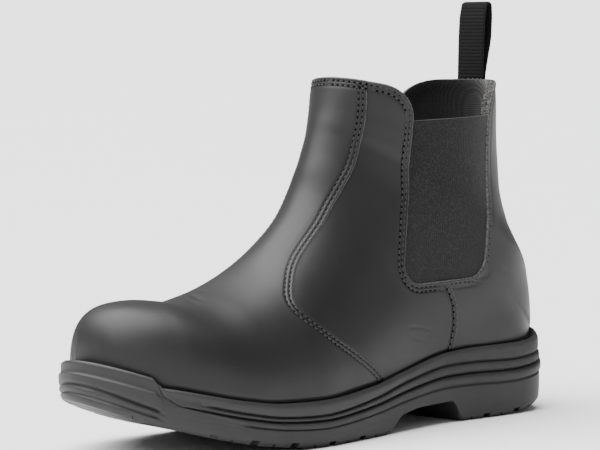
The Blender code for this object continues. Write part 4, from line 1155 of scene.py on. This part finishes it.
def stitch_rows():
    """Every row of stitches as (row, column) places along it, its side and its lift above the upper's face.
    The rows of a seam or a border lie at true distances from its edge."""
    shin = np.stack([collar_row(SHIN_COLUMNS), SHIN_COLUMNS], -1)
    back = np.stack([collar_row(BACK_COLUMNS), BACK_COLUMNS], -1)
    shin_end, back_start = (skin(*place)[[0, 2]] for place in (shin[-1], back[0]))
    front = np.concatenate([shin[:-1], locate(stretch(collar_line, shin_end, GORE_FOOT))])
    rear = np.concatenate([locate(stretch(collar_line, GORE_FOOT, back_start)), back[1:]])
    steps = np.linspace(0, STITCH_ROWS[1], 7)[1:]
    fine = np.concatenate([steps[steps < STITCH_ROWS[0]], STITCH_ROWS[:1], steps[steps > STITCH_ROWS[0]]])
    first = int(np.argmin(np.abs(fine - STITCH_ROWS[0])))
    front, rear = beside(even_rows(front, 300), fine), beside(even_rows(rear, 300), fine)
    lapped = beside(even_rows(seam, 300), fine)
    seam_stations = evenly(seam_line[::-1, ::-1], np.linspace(0, 1, 400))
    rows = []
    for side in (1, -1):
        for k in (first, -1):
            rows.append(Row(lapped[:, k], side, LAP_RISE - STITCH_SINK))
            points = skin(*front[:, k].T)
            on_vamp = points[:, 0] > np.interp(points[:, 2], seam_stations[:, 0], seam_stations[:, 1])
            rows.append(Row(front[:, k], side, np.where(on_vamp, LAP_RISE, 0) - STITCH_SINK / 2))
        rows.append(Row(rear[:, first], side, 0.0 - STITCH_SINK / 2))
        for inset in UNDER_ROWS:
            rows.append(Row(beside(locate(under_seam), (inset / 2, inset))[:, -1], side, QUARTER_LAP * 0.7))
        inner_edge = 1 - (1 - stay_j[:, -1]) * (1 - STAY_ROW / STAY_HALF)
        rows.append(Row(np.stack([stay_v[:, -1], inner_edge], -1)[6:], side, STAY_RISE))
    return rows


def stitches(row):
    """Places of one row's stitches, and three axes at each: along the row, to its side and outwards."""
    v, j = row.places[:, 0], row.side * row.places[:, 1]
    line = face(v, j, 0 * v + row.lift)
    above = line[:, 2] > sole_top(line[:, 0]) + CLEAR_OF_SOLE
    line, up = line[above], normals(v, j)[above]
    length = length_of(line)
    count = int(length / STITCH_PITCH)
    at = (np.arange(count) + 0.5) / count
    place = evenly(line, at)
    upward = evenly(np.concatenate([line, up], 1), at)[:, 3:]
    before, after = (evenly(line, np.clip(at + step, 0, 1)) for step in (-TURN_STEP, TURN_STEP))
    along_it = unit(after - before)
    return place, np.stack([along_it, np.cross(upward, along_it), upward], 1)


bar_run = np.linspace(-1, 1, 7)
bar_turn = np.linspace(0, 2 * np.pi, 7)
bar_radius = THREAD * np.sqrt(np.clip(1 - bar_run**6, 0, 1))
bar = np.stack([
    (STITCH_LENGTH / 2 * bar_run)[:, None] + 0 * bar_turn,
    bar_radius[:, None] * np.cos(bar_turn),
    bar_radius[:, None] * np.sin(bar_turn) + BAR_RISE - BAR_DIP * bar_run[:, None] ** 4,
], -1)
# Near-black lens half sunk in the leather at each needle hole, between two stitches: painted shade in the
# hole.
cup_turn = np.linspace(2 * np.pi, 0, 9)
cup_radius = HOLE * np.array([[0], [1], [1.25], [0]])
cup_height = np.array([[0.10], [0.07], [-0.15], [-0.20]])
cup = np.stack([cup_radius * np.cos(cup_turn), cup_radius * np.sin(cup_turn), cup_height + 0 * cup_turn], -1)
thread_points, thread_faces, thread_groups, start = [], [], [], 0
for row in stitch_rows():
    place, axes = stitches(row)
    for shape, group, shift in ((bar, 0, 0.0), (cup, 1, STITCH_PITCH / 2)):
        moved = place[:, None, None] + np.einsum("abk,nkd->nabd", shape + (shift, 0, 0), axes)
        moved = moved.reshape(-1, 3)
        each = start + np.arange(len(moved)).reshape(-1, *shape.shape[:2])
        blocks = np.concatenate([quads(one) for one in each])
        thread_points.append(moved)
        thread_faces.append(blocks)
        thread_groups.append(np.full(len(blocks), group))
        start += len(moved)
THREAD_NYLON = finish(
    "thread_nylon",
    lambda s: s.noise(0.8).tint(THREAD_BLACK, THREAD_GREY),
    lambda s: s.noise(1) * 0.2 + 0.45,
    lambda s: s.noise(0.3),
    0.06,
)
# Painted shade of the needle holes: near-black with no gloss.
NEEDLE_HOLE_SHADE = finish(
    "needle_hole_painted_shade",
    lambda s: s.noise(1).tint(HOLE_SHADE_BLACK, HOLE_SHADE_GREY),
    lambda s: s.noise(1) * 0.1 + 0.9,
    lambda s: s.noise(0.3),
    0.02,
    {"Specular IOR Level": 0.0},
)
piece("stitching", np.concatenate(thread_points), np.concatenate(thread_faces), "upper", [],
      [THREAD_NYLON, NEEDLE_HOLE_SHADE], groups=np.concatenate(thread_groups))

# Floor and light: plain white paper in a pale studio, lit by a wide soft ceiling and a weak soft box in
# front of the toe. The camera sees a backdrop brighter than the fill light that it gives.
FLOOR_REACH, FLOOR_PALE, FLOOR_WHITE = 12.0, (0.86, 0.86, 0.86), (0.9, 0.9, 0.9)
floor_mesh = bpy.data.meshes.new("floor")
corners = [(x * FLOOR_REACH, y * FLOOR_REACH, 0) for x, y in ((-1, -1), (1, -1), (1, 1), (-1, 1))]
floor_mesh.from_pydata(corners, [], [(0, 1, 2, 3)])
floor_piece = in_scene("floor", floor_mesh)
floor_mesh.materials.append(
    finish("floor_paper", lambda s: s.noise(400).tint(FLOOR_PALE, FLOOR_WHITE),
           lambda s: s.noise(300) * 0.1 + 0.8, lambda s: s.noise(3), 0.05)
)

BACKDROP, FILL = 2.72, 0.35
SUN_POWER, SUN_WIDTH, SUN_FROM = 10.0, np.radians(75), (-0.25, -0.35, 1.0)
BOX_PLACE, BOX_AIM, BOX_WIDTH, BOX_HEIGHT, BOX_POWER = (1.6, -2.2, 1.0), (0, 0, 0.1), 1.0, 1.4, 6
world = bpy.data.worlds.new("studio")
bpy.context.scene.world = world
world.use_nodes = True
air = Shade(world.node_tree)
seen = air.node("LightPath", output="Is Camera Ray")
glow, screen = (
    air.node("Background", None, {"Color": (1, 1, 1, 1), "Strength": one}) for one in (FILL, BACKDROP)
)
both = air.node("MixShader", None, {0: seen, 1: glow, 2: screen})
world.node_tree.links.new(both.socket, world.node_tree.nodes["World Output"].inputs["Surface"])
sky = bpy.data.lights.new("soft_ceiling", "SUN")
sky.energy = SUN_POWER
sky.angle = SUN_WIDTH
ceiling = in_scene(sky.name, sky)
ceiling.rotation_euler = Vector(SUN_FROM).to_track_quat("Z", "Y").to_euler()
light = bpy.data.lights.new("soft_box_0", "AREA")
light.shape = "RECTANGLE"
light.size = BOX_WIDTH
light.size_y = BOX_HEIGHT
light.energy = BOX_POWER
holder = in_scene(light.name, light)
holder.location = BOX_PLACE
holder.rotation_euler = (Vector(BOX_AIM) - Vector(BOX_PLACE)).to_track_quat("-Z", "Y").to_euler()

# Camera: the photograph's place, turned from the outer side towards the toe and a little above the floor. It
# stands well back with a long lens, held very slightly off level.
CAMERA_TURN, CAMERA_RISE, CAMERA_ROLL = np.radians([43.8, 4.65, -0.98])
CAMERA_DISTANCE = 1.68285
CAMERA_LENS, SENSOR = 190.93, 36.0
CAMERA_SHIFT = (-0.0210, 0.0423)
AIM_STATION, AIM_HEIGHT = 150.0, 95.0
CAMERA_AIM = Vector((-ACROSS_MIDDLE, SOLE_LENGTH / 2 - AIM_STATION, AIM_HEIGHT)) * MM
to_camera = Vector((
    np.cos(CAMERA_TURN) * np.cos(CAMERA_RISE),
    -np.sin(CAMERA_TURN) * np.cos(CAMERA_RISE),
    np.sin(CAMERA_RISE),
))
to_right = Vector((np.sin(CAMERA_TURN), np.cos(CAMERA_TURN), 0))
to_top = to_camera.cross(to_right)
right = to_right * np.cos(CAMERA_ROLL) + to_top * np.sin(CAMERA_ROLL)
top = to_top * np.cos(CAMERA_ROLL) - to_right * np.sin(CAMERA_ROLL)
camera = bpy.data.cameras.new("camera")
camera.lens = CAMERA_LENS
camera.sensor_width = SENSOR
camera.shift_x, camera.shift_y = CAMERA_SHIFT
camera_holder = in_scene("camera", camera)
camera_holder.matrix_world = Matrix.Translation(CAMERA_AIM + to_camera * CAMERA_DISTANCE) @ Matrix(
    (right, top, to_camera)
).transposed().to_4x4()
bpy.context.scene.camera = camera_holder
